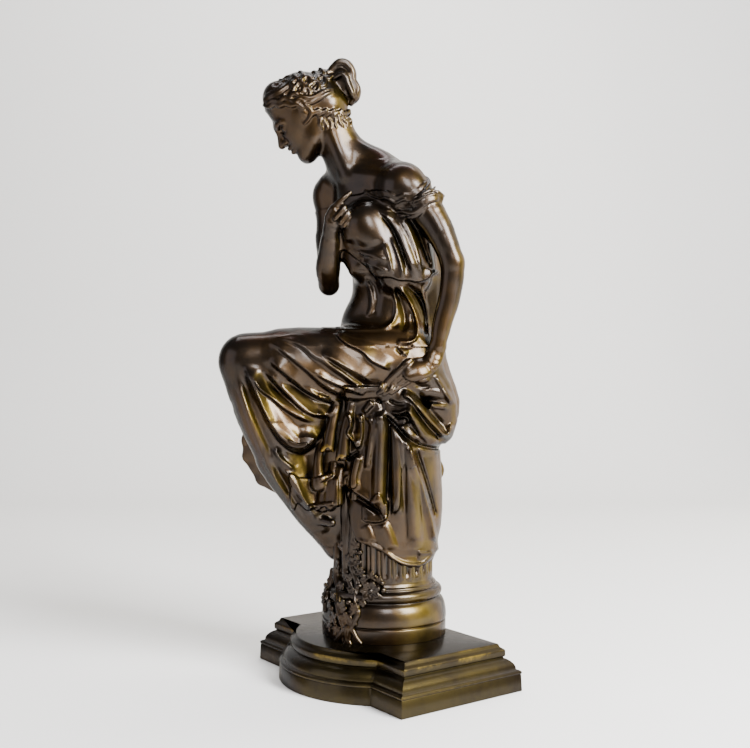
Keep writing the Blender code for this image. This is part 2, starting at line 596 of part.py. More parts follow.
def flutedShaft(low, high):
    # flutes are shallow scoops with a narrow fillet between them; they stop in a short slope at the foot
    work = bmesh.new()
    steps = ((0.0, 0.0), (0.14, 0.0), (0.36, 1.0), (0.78, 1.0))
    rings = []
    start = low + fluteRunOut * 0.57
    levels = ((low, 0.0), (start, 0.0), (start + fluteRunOut, 1.0), (high, 1.0))
    for z, share in levels:
        ring = []
        for k in range(fluteCount):
            for step, scoop in steps:
                a = math.tau * (k + step) / fluteCount
                r = shaftRadius - fluteDepth * scoop * share
                ring.append(work.verts.new((r * math.cos(a), r * math.sin(a), z)))
        rings.append(ring)
    count = len(rings[0])
    for lower, upper in zip(rings, rings[1:]):
        for k in range(count):
            n = (k + 1) % count
            work.faces.new((lower[k], lower[n], upper[n], upper[k]))
    work.faces.new(list(reversed(rings[0])))
    work.faces.new(rings[-1])
    bmesh.ops.recalc_face_normals(work, faces=work.faces)
    return work


shaft = finish(flutedShaft(foot + footHeight * 0.957, shaftTop), "shaft")


def union(first, second, name):
    a = objectFrom("first", first)
    b = objectFrom("second", second)
    b.hide_render = True
    b.display_type = "WIRE"
    join = a.modifiers.new("Join", "BOOLEAN")
    join.operation = "UNION"
    join.solver = "EXACT"
    join.object = b
    data = baked(a)
    bpy.data.objects.remove(b)
    data.name = name
    return data


column = union(columnBase, shaft, "column")
statue = union(column, figure, "statue")


def clean(data):
    work = bmesh.new()
    work.from_mesh(data)
    bmesh.ops.remove_doubles(work, verts=work.verts, dist=0.00004)
    bmesh.ops.dissolve_degenerate(work, edges=work.edges, dist=0.00002)
    bmesh.ops.triangulate(work, faces=work.faces)
    work.to_mesh(data)
    work.free()
    return keepOuterShell(data)


statue = clean(statue)


def bronze(name, colour, rough):
    material = bpy.data.materials.new(name)
    material.use_nodes = True
    shader = material.node_tree.nodes["Principled BSDF"]
    shader.inputs["Base Color"].default_value = colour
    shader.inputs["Metallic"].default_value = 1.0
    shader.inputs["Roughness"].default_value = rough
    return material


statue.shade_smooth()
casting = objectFrom("seated_woman_and_column", statue)
statue.materials.clear()
statue.materials.append(bronze("darkWaxedBronze", (0.075, 0.048, 0.022, 1.0), 0.32))
for polygon in statue.polygons:
    polygon.material_index = 0


def plinthOutline(inset, arcSteps):
    # one level of the moulding: a rectangle with a bow concentric with the column in its front
    halfX = plinthLength / 2 - inset
    halfY = plinthDepth / 2 - inset
    r = bowRadius - inset
    reach = math.asin(math.sqrt(r * r - halfY * halfY) / r)
    points = [(halfX, -halfY), (halfX, halfY), (-halfX, halfY), (-halfX, -halfY)]
    for k in range(arcSteps + 1):
        a = -reach + 2 * reach * k / arcSteps
        points.append((r * math.sin(a), -r * math.cos(a)))
    return points


# The moulding from the ground up: fascia, bead, fillet, cove, slab, bevelled top. Inset and height are
# shares of
# the plinth's height
mouldingRows = [
    (0.000, 0.000),
    (0.018, 0.359),
    (0.000, 0.381),
    (0.004, 0.422),
    (0.049, 0.457),
    (0.090, 0.466),
    (0.094, 0.511),
    (0.130, 0.587),
    (0.193, 0.664),
    (0.287, 0.722),
    (0.258, 0.749),
    (0.251, 0.861),
    (0.283, 0.919),
    (0.341, 0.951),
    (0.370, 1.000),
]
plinthProfile = [(inset * plinthHeight, level * plinthHeight) for inset, level in mouldingRows]
work = bmesh.new()
levels = []
for inset, z in plinthProfile:
    levels.append([work.verts.new((x, y, z)) for x, y in plinthOutline(inset, 20)])
for lower, upper in zip(levels, levels[1:]):
    count = len(lower)
    for k in range(count):
        n = (k + 1) % count
        work.faces.new((lower[k], lower[n], upper[n], upper[k]))
work.faces.new(list(reversed(levels[0])))
work.faces.new(levels[-1])
bmesh.ops.recalc_face_normals(work, faces=work.faces)
bmesh.ops.triangulate(work, faces=work.faces)
plinthData = finish(work, "plinth")
plinthData.materials.append(bronze("greenishBronze", (0.060, 0.046, 0.020, 1.0), 0.40))
plinth = objectFrom("plinth", plinthData)
plinthData.shade_smooth()
plinthData.set_sharp_from_angle(angle=math.radians(35))
print("triangles", len(statue.polygons), len(plinthData.polygons))
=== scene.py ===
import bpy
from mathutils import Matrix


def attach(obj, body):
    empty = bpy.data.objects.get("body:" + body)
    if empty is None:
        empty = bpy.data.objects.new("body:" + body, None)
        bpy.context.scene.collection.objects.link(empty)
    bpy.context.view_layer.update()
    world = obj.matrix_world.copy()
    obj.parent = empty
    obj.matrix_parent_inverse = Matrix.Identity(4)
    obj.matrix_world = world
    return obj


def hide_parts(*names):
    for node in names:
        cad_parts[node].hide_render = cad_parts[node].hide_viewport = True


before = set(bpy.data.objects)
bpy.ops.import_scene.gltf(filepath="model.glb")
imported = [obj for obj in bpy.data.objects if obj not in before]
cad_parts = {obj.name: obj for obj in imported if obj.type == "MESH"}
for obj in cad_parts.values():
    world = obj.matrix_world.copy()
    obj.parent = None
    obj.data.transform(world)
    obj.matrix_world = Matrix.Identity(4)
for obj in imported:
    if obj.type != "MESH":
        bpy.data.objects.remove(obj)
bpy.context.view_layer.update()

import math
import bpy
import bmesh
import numpy as np
from mathutils import Matrix, Vector

# The figure is shaped in clay in its own drawing frame: x to the right, y away from the eye, z up, in millimetres.
# That frame is turned 54 degrees about the column to stand on the plinth, whose bow looks along -Y.
drawingTurn = math.radians(54)
toWorld = Matrix.Rotation(drawingTurn, 4, "Z") @ Matrix.Diagonal((0.001, 0.001, 0.001, 1.0))
fineStep = 1.1      # mm between the clay's points
eye = {"across": -9.0, "away": -1067.0, "up": 303.0}      # mm, where the drawing is seen from
sheet = {"centre": (375.0, 374.0), "scale": 1056.2}       # pixels: the drawing's centre, and its scale
axisColumn, footRow = 384, 674      # pixels: where the column's axis and the plinth's foot are drawn
farValue = 16.0      # mm, what clay reads before anything is pressed into it


def spot(across, up, away=0.0):
    # the point drawn at across from the axis and up from the foot, at the depth away
    s = (away - eye["away"]) / sheet["scale"]
    return np.array((eye["across"] + (axisColumn + across - sheet["centre"][0]) * s, away,
                     eye["up"] + (sheet["centre"][1] - (footRow - up)) * s))


def path(*rows):
    return [spot(*r) for r in rows]


def newClay(low, high, step):
    low, high = np.array(low, float), np.array(high, float)
    size = np.ceil((high - low) / step).astype(int) + 1
    return {"low": low, "step": step, "field": np.full(size, farValue, np.float32)}


def window(clay, low, high):
    # the part of the clay's points between two corners, and where those points are
    n = np.array(clay["field"].shape)
    a = np.clip(np.floor((np.array(low) - clay["low"]) / clay["step"]).astype(int), 0, n)
    b = np.clip(np.ceil((np.array(high) - clay["low"]) / clay["step"]).astype(int) + 1, 0, n)
    x, y, z = ((clay["low"][i] + clay["step"] * np.arange(a[i], b[i])).astype(np.float32) for i in range(3))
    return tuple(slice(a[i], b[i]) for i in range(3)), (x[:, None, None], y[None, :, None], z[None, None, :])


def press(clay, where, d, blend, cut=False):
    # joins a shape to the clay, or cuts it out, with a rounded seam
    f = clay["field"][where]
    if cut:
        d = -d
        f[...] = np.maximum(f, d) + np.maximum(blend - np.abs(f - d), 0) ** 2 / (4 * blend)
    else:
        f[...] = np.minimum(f, d) - np.maximum(blend - np.abs(f - d), 0) ** 2 / (4 * blend)


def smoothPath(points, values, every):
    # a smooth curve through the points with a point about every so often, and the values along it
    p = np.array(points, float)
    v = np.array(values, float)
    q = np.vstack([2 * p[0] - p[1], p, 2 * p[-1] - p[-2]])
    w = np.concatenate([[v[0]], v, [v[-1]]])
    outP, outV = [], []
    for i in range(len(p) - 1):
        n = max(1, int(math.ceil(np.linalg.norm(p[i + 1] - p[i]) / every)))
        for j in range(n):
            t = j / n
            a, b, c, d = q[i:i + 4]
            outP.append(0.5 * (2 * b + (c - a) * t + (2 * a - 5 * b + 4 * c - d) * t * t
                               + (3 * b - a - 3 * c + d) * t ** 3))
            outV.append(w[i + 1] + (w[i + 2] - w[i + 1]) * (t * t * (3 - 2 * t)))
    outP.append(p[-1])
    outV.append(v[-1])
    return np.array(outP), np.array(outV)


def roll(clay, points, radii, blend, cut=False, flat=None, every=None):
    # a roll of clay along a smooth path; flat = (direction, share) thins it in that direction
    p, r = smoothPath(points, radii, every or max(2.0, min(radii) * 0.9, 3.0))
    pad = blend + clay["step"] + 1.0
    low = (p - r[:, None]).min(0) - pad
    high = (p + r[:, None]).max(0) + pad
    where, _ = window(clay, low, high)
    d = np.full(tuple(s.stop - s.start for s in where), farValue, np.float32)
    sub = {"low": clay["low"] + clay["step"] * np.array([s.start for s in where]), "step": clay["step"], "field": d}
    for i in range(len(p) - 1):
        a, b = p[i], p[i + 1]
        ra, rb = r[i], r[i + 1]
        m = max(ra, rb) + pad
        w, (x, y, z) = window(sub, np.minimum(a, b) - m, np.maximum(a, b) + m)
        e = b - a
        x, y, z = x - a[0], y - a[1], z - a[2]
        t = np.clip((x * e[0] + y * e[1] + z * e[2]) / max(e @ e, 1e-9), 0, 1)
        qx, qy, qz = x - t * e[0], y - t * e[1], z - t * e[2]
        rr = ra + (rb - ra) * t
        s2 = qx * qx + qy * qy + qz * qz
        if flat is None:
            dd = np.sqrt(s2) - rr
        else:
            n, share = flat
            qn = qx * n[0] + qy * n[1] + qz * n[2]
            k = np.sqrt(s2 + qn * qn * (1 / share ** 2 - 1)) + 1e-6
            g = np.sqrt(s2 + qn * qn * (1 / share ** 4 - 1)) + 1e-6
            dd = (k - rr) * k / g
        d[w] = np.minimum(d[w], dd)
    press(clay, where, d, blend, cut)


def turnMatrix(forward, up):
    # the rows point forward, left and up
    f = np.array(forward, float)
    f /= np.linalg.norm(f)
    u = np.array(up, float)
    u -= f * (f @ u)
    u /= np.linalg.norm(u)
    return np.array([f, np.cross(u, f), u])


def ball(clay, centre, radii, blend, turn=None, cut=False):
    c = np.array(centre, float)
    radii = np.array(radii, float) * np.ones(3)
    m = radii.max() + blend + clay["step"] + 1
    where, grid = window(clay, c - m, c + m)
    x, y, z = (grid[i] - c[i] for i in range(3))
    if turn is None:
        a, b, h = x / radii[0], y / radii[1], z / radii[2]
    else:
        a, b, h = ((x * turn[i][0] + y * turn[i][1] + z * turn[i][2]) / radii[i] for i in range(3))
    k = np.sqrt(a * a + b * b + h * h) + 1e-6
    g = np.sqrt((a / radii[0]) ** 2 + (b / radii[1]) ** 2 + (h / radii[2]) ** 2) + 1e-6
    press(clay, where, (k * (k - 1) / g).astype(np.float32), blend, cut)


def sample(clay, p):
    # how far each point is outside the clay
    q = (np.asarray(p) - clay["low"]) / clay["step"]
    n = np.array(clay["field"].shape)
    q = np.clip(q, 0, n - 1.001)
    i = q.astype(int)
    t = q - i
    f = clay["field"]
    out = 0
    for dx in (0, 1):
        for dy in (0, 1):
            for dz in (0, 1):
                w = np.abs(1 - dx - t[:, 0]) * np.abs(1 - dy - t[:, 1]) * np.abs(1 - dz - t[:, 2])
                out = out + w * f[i[:, 0] + dx, i[:, 1] + dy, i[:, 2] + dz]
    return out


def slope(clay, p):
    # the way out of the clay at each point
    g = np.stack([sample(clay, p + h) - sample(clay, p - h) for h in clay["step"] * 0.75 * np.eye(3)], 1)
    return g / (np.linalg.norm(g, axis=1, keepdims=True) + 1e-9)


ray = {"from": -150.0, "lost": 200.0, "steps": 400, "touch": 0.05, "shortest": 0.15, "longest": 8.0}      # mm


def lay(clay, drawn, lift, every):
    # lays a drawn line on the clay as seen from the eye, and lifts it off by lift
    plane = np.array(path(*drawn))
    points, _ = smoothPath(plane, np.zeros(len(plane)), every)
    e = np.array((eye["across"], eye["away"], eye["up"]))
    direction = points - e
    direction /= np.linalg.norm(direction, axis=1, keepdims=True)
    s = (ray["from"] - e[1]) / direction[:, 1]
    hit = np.zeros(len(points), bool)
    for _ in range(ray["steps"]):
        d = sample(clay, e + direction * s[:, None])
        hit |= d < ray["touch"]
        s = np.where(hit, s, s + np.clip(d, ray["shortest"], ray["longest"]))
    p = e + direction * s[:, None]
    # a point that misses the clay takes the depth of the nearest one that meets it
    miss = p[:, 1] > ray["lost"]
    good = np.where(~miss)[0]
    for i in np.where(miss)[0]:
        j = good[np.argmin(abs(good - i))]
        p[i] = e + direction[i] * ((p[j, 1] - e[1]) / direction[i, 1])
    # even out jumps in depth
    depth = p[:, 1].copy()
    for _ in range(2):
        depth[1:-1] = (depth[:-2] + 2 * depth[1:-1] + depth[2:]) / 4
    s = (depth - e[1]) / direction[:, 1]
    p = e + direction * s[:, None]
    return p + slope(clay, p) * lift


def spread(values, count, at=None):
    # as many values as count asks for, that run through the given ones
    return np.interp(np.linspace(0, 1, count), np.linspace(0, 1, len(values)) if at is None else at, values)


def skin(clay):
    # the surface of the clay: one point in each cell that it crosses, joined by four-sided faces
    f = clay["field"]
    inside = f < 0
    nx, ny, nz = f.shape
    count = np.zeros((nx - 1, ny - 1, nz - 1), np.uint8)
    for dx in (0, 1):
        for dy in (0, 1):
            for dz in (0, 1):
                count += inside[dx:nx - 1 + dx, dy:ny - 1 + dy, dz:nz - 1 + dz]
    active = (count > 0) & (count < 8)
    cells = np.argwhere(active)
    ids = np.full(active.shape, -1, np.int32)
    ids[active] = np.arange(len(cells), dtype=np.int32)
    total = np.zeros((len(cells), 3))
    number = np.zeros(len(cells))
    corners = [(i & 1, i >> 1 & 1, i >> 2) for i in range(8)]
    values = [f[cells[:, 0] + c[0], cells[:, 1] + c[1], cells[:, 2] + c[2]].astype(float) for c in corners]
    for i in range(8):
        for j in range(i + 1, 8):
            if sum(abs(corners[i][k] - corners[j][k]) for k in range(3)) != 1:
                continue
            a, b = values[i], values[j]
            crossing = (a < 0) != (b < 0)
            t = np.where(crossing, a / np.where(crossing, a - b, 1), 0)
            p = np.array(corners[i]) + t[:, None] * (np.array(corners[j]) - np.array(corners[i]))
            total += np.where(crossing[:, None], p, 0)
            number += crossing
    points = clay["low"] + clay["step"] * (cells + total / number[:, None])
    faces = []
    for axis in range(3):
        b, c = (axis + 1) % 3, (axis + 2) % 3
        lowSlice = [slice(None)] * 3
        highSlice = [slice(None)] * 3
        lowSlice[axis] = slice(0, -1)
        highSlice[axis] = slice(1, None)
        first, second = inside[tuple(lowSlice)], inside[tuple(highSlice)]
        for flip in (False, True):
            edge = (first & ~second) if not flip else (~first & second)
            e = np.argwhere(edge)
            e = e[(e[:, b] > 0) & (e[:, c] > 0) & (e[:, b] < f.shape[b] - 1) & (e[:, c] < f.shape[c] - 1)]
            quad = []
            for ob, oc in ((-1, -1), (0, -1), (0, 0), (-1, 0)):
                k = e.copy()
                k[:, b] += ob
                k[:, c] += oc
                quad.append(ids[k[:, 0], k[:, 1], k[:, 2]])
            quad = np.stack(quad, 1)
            faces.append(quad[:, ::-1] if flip else quad)
    faces = np.concatenate(faces)
    faces = faces[(faces >= 0).all(1)]
    # two steps settle the points on the surface
    for _ in range(2):
        g = slope(clay, points)
        points = points - g * np.clip(sample(clay, points), -clay["step"], clay["step"])[:, None]
    return points, faces


def sheetOf(grid):
    # where points of the clay are drawn: across from the axis and up from the foot
    x, y, z = grid
    k = sheet["scale"] / (y - eye["away"])
    across = sheet["centre"][0] + (x - eye["across"]) * k - axisColumn
    up = footRow - (sheet["centre"][1] - (z - eye["up"]) * k)
    return across, up


def layer(clay, low, high, thick, limit, blend=1.5, soft=1.0):
    # a cloth layer over the clay: thick mm deep where limit(across, up) is below zero
    where, grid = window(clay, low, high)
    f = clay["field"][where]
    a, b = f - thick, limit(*sheetOf(grid))
    d = np.maximum(a, b) + np.maximum(soft - np.abs(a - b), 0) ** 2 / (4 * soft)
    press(clay, where, d.astype(np.float32), blend)


def curveOf(points):
    xs, ys = np.array(points, float).T
    return lambda a: np.interp(a, xs, ys)


reliefLow, reliefHigh, reliefStep = (-180, 90), (90, 500), 0.75      # drawn units


def newRelief():
    size = [int((high - low) / reliefStep) + 1 for low, high in zip(reliefLow, reliefHigh)]
    return {"low": np.array(reliefLow, float), "step": reliefStep, "field": np.zeros(size)}


def crease(relief, points, high, left, right, taper, keen):
    # a ridge along a drawn line, or a groove where high is negative; it falls away over left and right
    # units on its two sides, rounded where keen is 0, softly where it is 1, and more sharply above that
    p, _ = smoothPath(np.array([(a, u, 0.0) for a, u in points]), np.zeros(len(points)), 3.0)
    p = p[:, :2]
    wide = max(left, right)
    lo = p.min(0) - wide
    hi = p.max(0) + wide
    n = relief["field"].shape
    i0 = np.clip(np.floor((lo - relief["low"]) / relief["step"]).astype(int), 0, n)
    i1 = np.clip(np.ceil((hi - relief["low"]) / relief["step"]).astype(int) + 1, 0, n)
    x = relief["low"][0] + relief["step"] * np.arange(i0[0], i1[0])[:, None]
    y = relief["low"][1] + relief["step"] * np.arange(i0[1], i1[1])[None, :]
    best = np.full((x.size, y.size), 1e9)
    sideOf = np.zeros_like(best)
    along = np.zeros_like(best)
    lengths = np.concatenate([[0], np.cumsum(np.linalg.norm(np.diff(p, axis=0), axis=1))])
    for i in range(len(p) - 1):
        e = p[i + 1] - p[i]
        ll = e @ e
        t = np.clip(((x - p[i][0]) * e[0] + (y - p[i][1]) * e[1]) / ll, 0, 1)
        dx, dy = x - p[i][0] - t * e[0], y - p[i][1] - t * e[1]
        d = np.sqrt(dx * dx + dy * dy)
        closer = d < best
        best = np.where(closer, d, best)
        sideOf = np.where(closer, e[0] * dy - e[1] * dx, sideOf)
        along = np.where(closer, lengths[i] + t * math.sqrt(ll), along)
    w = np.where(sideOf > 0, left, right)
    s = np.clip(1 - best / w, 0, 1)
    shape = s * (2 - s) if keen == 0 else s * s * (3 - 2 * s) if keen == 1 else s ** keen
    ends = np.clip(np.minimum(along, lengths[-1] - along) / max(lengths[-1] * taper, 1e-6), 0, 1)
    ends = ends * ends * (3 - 2 * ends)
    relief["field"][i0[0]:i1[0], i0[1]:i1[1]] += high * shape * ends


def pen(relief, keen, share=1.0):
    # draws creases of one kind, each with its height times share
    def draw(points, high, left, right, taper=0.2, keen=keen):
        crease(relief, points, share * high, left, right, taper, keen)
    return draw


def carve(clay, relief, low, high, weight):
    # moves the skin of the clay out and in by the relief drawn from the front, where weight(away) lets it
    where, grid = window(clay, low, high)
    f = clay["field"][where]
    across, up = sheetOf(grid)
    n = relief["field"].shape
    i = np.clip((across - relief["low"][0]) / relief["step"], 0, n[0] - 1.001)
    j = np.clip((up - relief["low"][1]) / relief["step"], 0, n[1] - 1.001)
    i, j = np.broadcast_arrays(i, j)
    near = np.abs(f) < 12
    a, b = i[near], j[near]
    ia, jb = a.astype(int), b.astype(int)
    ta, tb = a - ia, b - jb
    r = relief["field"]
    h = (r[ia, jb] * (1 - ta) * (1 - tb) + r[ia + 1, jb] * ta * (1 - tb)
         + r[ia, jb + 1] * (1 - ta) * tb + r[ia + 1, jb + 1] * ta * tb)
    w = np.broadcast_to(weight(grid[1]), f.shape)[near]
    f[near] = f[near] - (h * w).astype(np.float32)


faceWay = np.array((-0.72, -0.69, 0.0))


def torso(clay):
    chest = turnMatrix(faceWay, (-0.18, 0, 1))
    ball(clay, spot(8, 436, 4), (34, 46, 56), 10, chest)
    ball(clay, spot(8, 368, 4), (36, 42, 45), 20, turnMatrix((-0.9, -0.43, 0), (0, 0, 1)))
    ball(clay, spot(12, 322, 0), (44, 54, 32), 16)
    roll(clay, path((-14, 346, 0), (2, 350, 0)), [26, 30], 18)
    roll(clay, path((11, 374, 4), (4, 424, 4), (-4, 466, 3)), [33, 35, 28], 12)
    ball(clay, spot(-12, 478, 2), (27, 42, 22), 14, turnMatrix(faceWay, (-0.25, 0.1, 1)))
    # neck, and the slopes to both shoulders
    roll(clay, path((-52, 545, 0), (-43, 525, 1), (-31, 504, 2), (-14, 484, 4)), [16.5, 16.5, 18.5, 22], 10)
    roll(clay, path((-32, 519, 4), (-5, 506, -8), (14, 488, -27)), [12, 13.5, 15], 10)
    roll(clay, path((-34, 512, 6), (-42, 496, 20), (-50, 480, 34)), [11, 13, 16], 9)
    ball(clay, spot(19, 485, -36), (20, 20, 21), 9)
    ball(clay, spot(-49, 475, 36), (17, 18, 19), 8)
    # breast
    ball(clay, spot(-17, 446, -33), (19, 19, 19), 8)
    ball(clay, spot(-37, 441, -8), (17, 17, 19), 9)
    # collar bones and the cord of the neck
    roll(clay, path((-34, 498, -14), (-14, 497, -24), (10, 492, -40)), [3, 3.2, 3.4], 6)
    roll(clay, path((-52, 540, -13), (-44, 520, -15), (-36, 500, -14)), [4, 4, 3], 6)


neckCurve = curveOf([(-70, 455), (-50, 460), (-44, 470), (-36, 472), (-24, 474), (-12, 478), (-3, 478), (5, 477),
    (12, 472.5), (19, 474.5), (26, 472.5), (31, 475), (37, 480), (42, 486), (48, 494)])
hemCurve = curveOf([(-40, 424), (-22, 412), (-9, 398), (7, 396), (18, 394), (30, 392), (43.5, 394), (54, 403),
    (64, 410)])


def dress(clay):
    low, high = (-100, -90, 330), (90, 90, 560)
    layer(clay, low, high, 2.2, lambda a, u: (u - neckCurve(a)) * 0.8)
    # cloth that hangs loose from the breast and the back
    roll(clay, path((-8, 432, -38), (2, 412, -42), (10, 396, -42)), [14, 14, 12], 12)
    roll(clay, path((20, 442, -32), (26, 418, -34), (30, 398, -34)), [14, 16, 16], 12)
    roll(clay, path((-32, 424, -12), (-24, 408, -22)), [14, 12], 12)
    layer(clay, low, high, 4.5, lambda a, u: (hemCurve(a) + 0.7 * np.sin(a * 0.3) - u) * 0.8, 2.0)


def nearArm(clay):
    roll(clay, path((27, 481, -42), (42, 464, -46), (53.5, 447, -51), (62.5, 428, -54), (68.5, 411, -54)),
         [18.3, 16.5, 14.4, 12.4, 11], 5)
    roll(clay, path((68.5, 412, -54), (68.5, 398, -53), (65, 375, -51), (58, 350, -51), (54, 328, -52)),
        [11.2, 11.3, 10.6, 9.6, 7.6], 4)
    n = np.array((0.30, -0.80, 0.52))
    cloth = dict(clay, field=clay["field"].copy())
    palm = lay(cloth, [(41, 307), (34, 305), (27, 302)], 3.2, 3.0)
    roll(clay, np.vstack([path((54, 328, -52), (49.5, 314, -56)), palm]),
         spread([8.2, 8.8, 11.2, 10.2], len(palm) + 2, [0, 0.3, 0.6, 1]), 3, flat=(n, 0.5))
    # four long fingers laid on the cloth
    for drawn in (((25, 313), (20, 308.5), (9, 299.5), (-4, 286.5)),
                  ((26, 308), (21, 304), (9, 293.6), (-6, 281.5)),
                  ((28, 303.5), (23, 299.6), (12, 290), (0, 280.5)),
                  ((31, 299.5), (26, 295.6), (17, 288.5), (7, 281.5))):
        p = lay(cloth, drawn, 2.4, 3.0)
        roll(clay, p, spread([3.2, 3.1, 2.1], len(p), [0, 0.35, 1]), 0.7, every=1e9)
        ball(clay, p[2], 3.5, 2.0)


def farArm(clay):
    roll(clay, path((-50, 474, 36), (-53, 446, 28), (-55, 414, 12), (-55, 391, 0)), [17, 14, 12, 10], 6)
    roll(clay, path((-55, 388, -2), (-56, 406, -14), (-54, 428, -28), (-53, 444, -38)), [10, 12.4, 10.4, 7.6], 4)
    # short sleeve with its hanging hem
    roll(clay, path((-47.5, 476, 34), (-49.5, 456, 30), (-51.5, 434, 24)), [19, 18, 16], 4)
    roll(clay, path((-53, 434, 24), (-56, 420, 20)), [16, 11], 3)
    n = np.array((0.45, -0.80, 0.35))
    roll(clay, path((-53, 444, -38), (-50, 454, -42), (-46, 462, -44)), [7.6, 10, 9.4], 3, flat=(n, 0.6))
    # the pointing finger and three curled ones
    roll(clay, path((-52, 462, -44), (-47, 469, -47), (-40, 476, -48), (-34, 481, -47)), [4.6, 3.6, 3, 2.3], 1.2)
    for tip, root in (((-49, 455), (-40, 466)), ((-44, 450.5), (-36.5, 461)), ((-40, 448), (-33.5, 457))):
        knuckle = (root[0] - 5, root[1] + 1, -45)
        roll(clay, path(knuckle, (*root, -49.5), (*tip, -51.5)), [3.2, 3.2, 2.5], 0.9)


headForward, headUp = np.array((-0.80, 0.0, -0.60)), np.array((-0.60, 0.0, 0.80))
headMatrix = turnMatrix(headForward, headUp)
headCentre = spot(-77, 562, 0)


def headSpot(forward, side, up):
    # side is towards the viewer
    return headCentre + headForward * forward + np.array((0, -1.0, 0)) * side + headUp * up


def headPath(*rows):
    return [headSpot(*r) for r in rows]


def headOf(clay):
    ball(clay, headSpot(-1, 0, 4), (34, 28, 36), 6, headMatrix)
    ball(clay, headSpot(14, 0, -12), (21, 22, 28), 8, headMatrix)
    ball(clay, headSpot(26, 0, -34), (8, 9, 7.5), 8, headMatrix)
    for side in (1, -1):
        roll(clay, headPath((2, side * 17, -20), (14, side * 15, -30), (25, side * 5, -35)), [6, 6, 6], 8)
    # brow, nose, lips, chin
    roll(clay, headPath((28, -17, 3), (33, -7, 5), (33, 7, 5), (28, 17, 3)), [3, 3.4, 3.4, 3], 5)
    roll(clay, headPath((32, 0, 8), (36.5, 0, -4), (40.5, 0, -12)), [3.2, 3.4, 4], 4)
    for side in (-1, 1):
        ball(clay, headSpot(36.5, side * 4, -13), (3.4, 2.8, 2.6), 2, headMatrix)
        ball(clay, headSpot(30, side * 10.5, -2), (5, 7, 4.2), 3, headMatrix, cut=True)
        ball(clay, headSpot(26.5, side * 10.5, -2.5), (5.6, 6.6, 4.6), 2, headMatrix)
    roll(clay, headPath((31, -7, -20.5), (36, 0, -19.5), (31, 7, -20.5)), [1.6, 2.6, 1.6], 2)
    roll(clay, headPath((30, -6, -24), (35, 0, -24), (30, 6, -24)), [1.8, 2.9, 1.8], 2)
    roll(clay, headPath((35, -5, -22), (37.5, 0, -21.8), (35, 5, -22)), [0.8, 0.9, 0.8], 1, cut=True)


def mirrored(points):
    # the same points on the far side of the head
    return [np.array((p[0], 2 * headCentre[1] - p[1], p[2])) for p in points]


bare = {}


def lock(clay, drawn, radii, blend, lift):
    # a strand drawn on the near side of the head and laid on the bare cap, and its twin on the far side
    p = lay(bare, drawn, lift, 1.6)
    for strand in (p, mirrored(p)):
        roll(clay, strand, spread(radii, len(p)), blend, every=1e9)


def wavy(start, end, bend, swing, waves, phase, count=22):
    # a waving line from start to end that bows sideways by bend
    a, b = np.array(start, float), np.array(end, float)
    d = b - a
    n = np.array((-d[1], d[0])) / np.linalg.norm(d)
    out = []
    for t in np.arange(count) / (count - 1):
        out.append(tuple(a + d * t + n * (bend * 4 * t * (1 - t) + swing * math.sin(math.tau * waves * t + phase))))
    return out


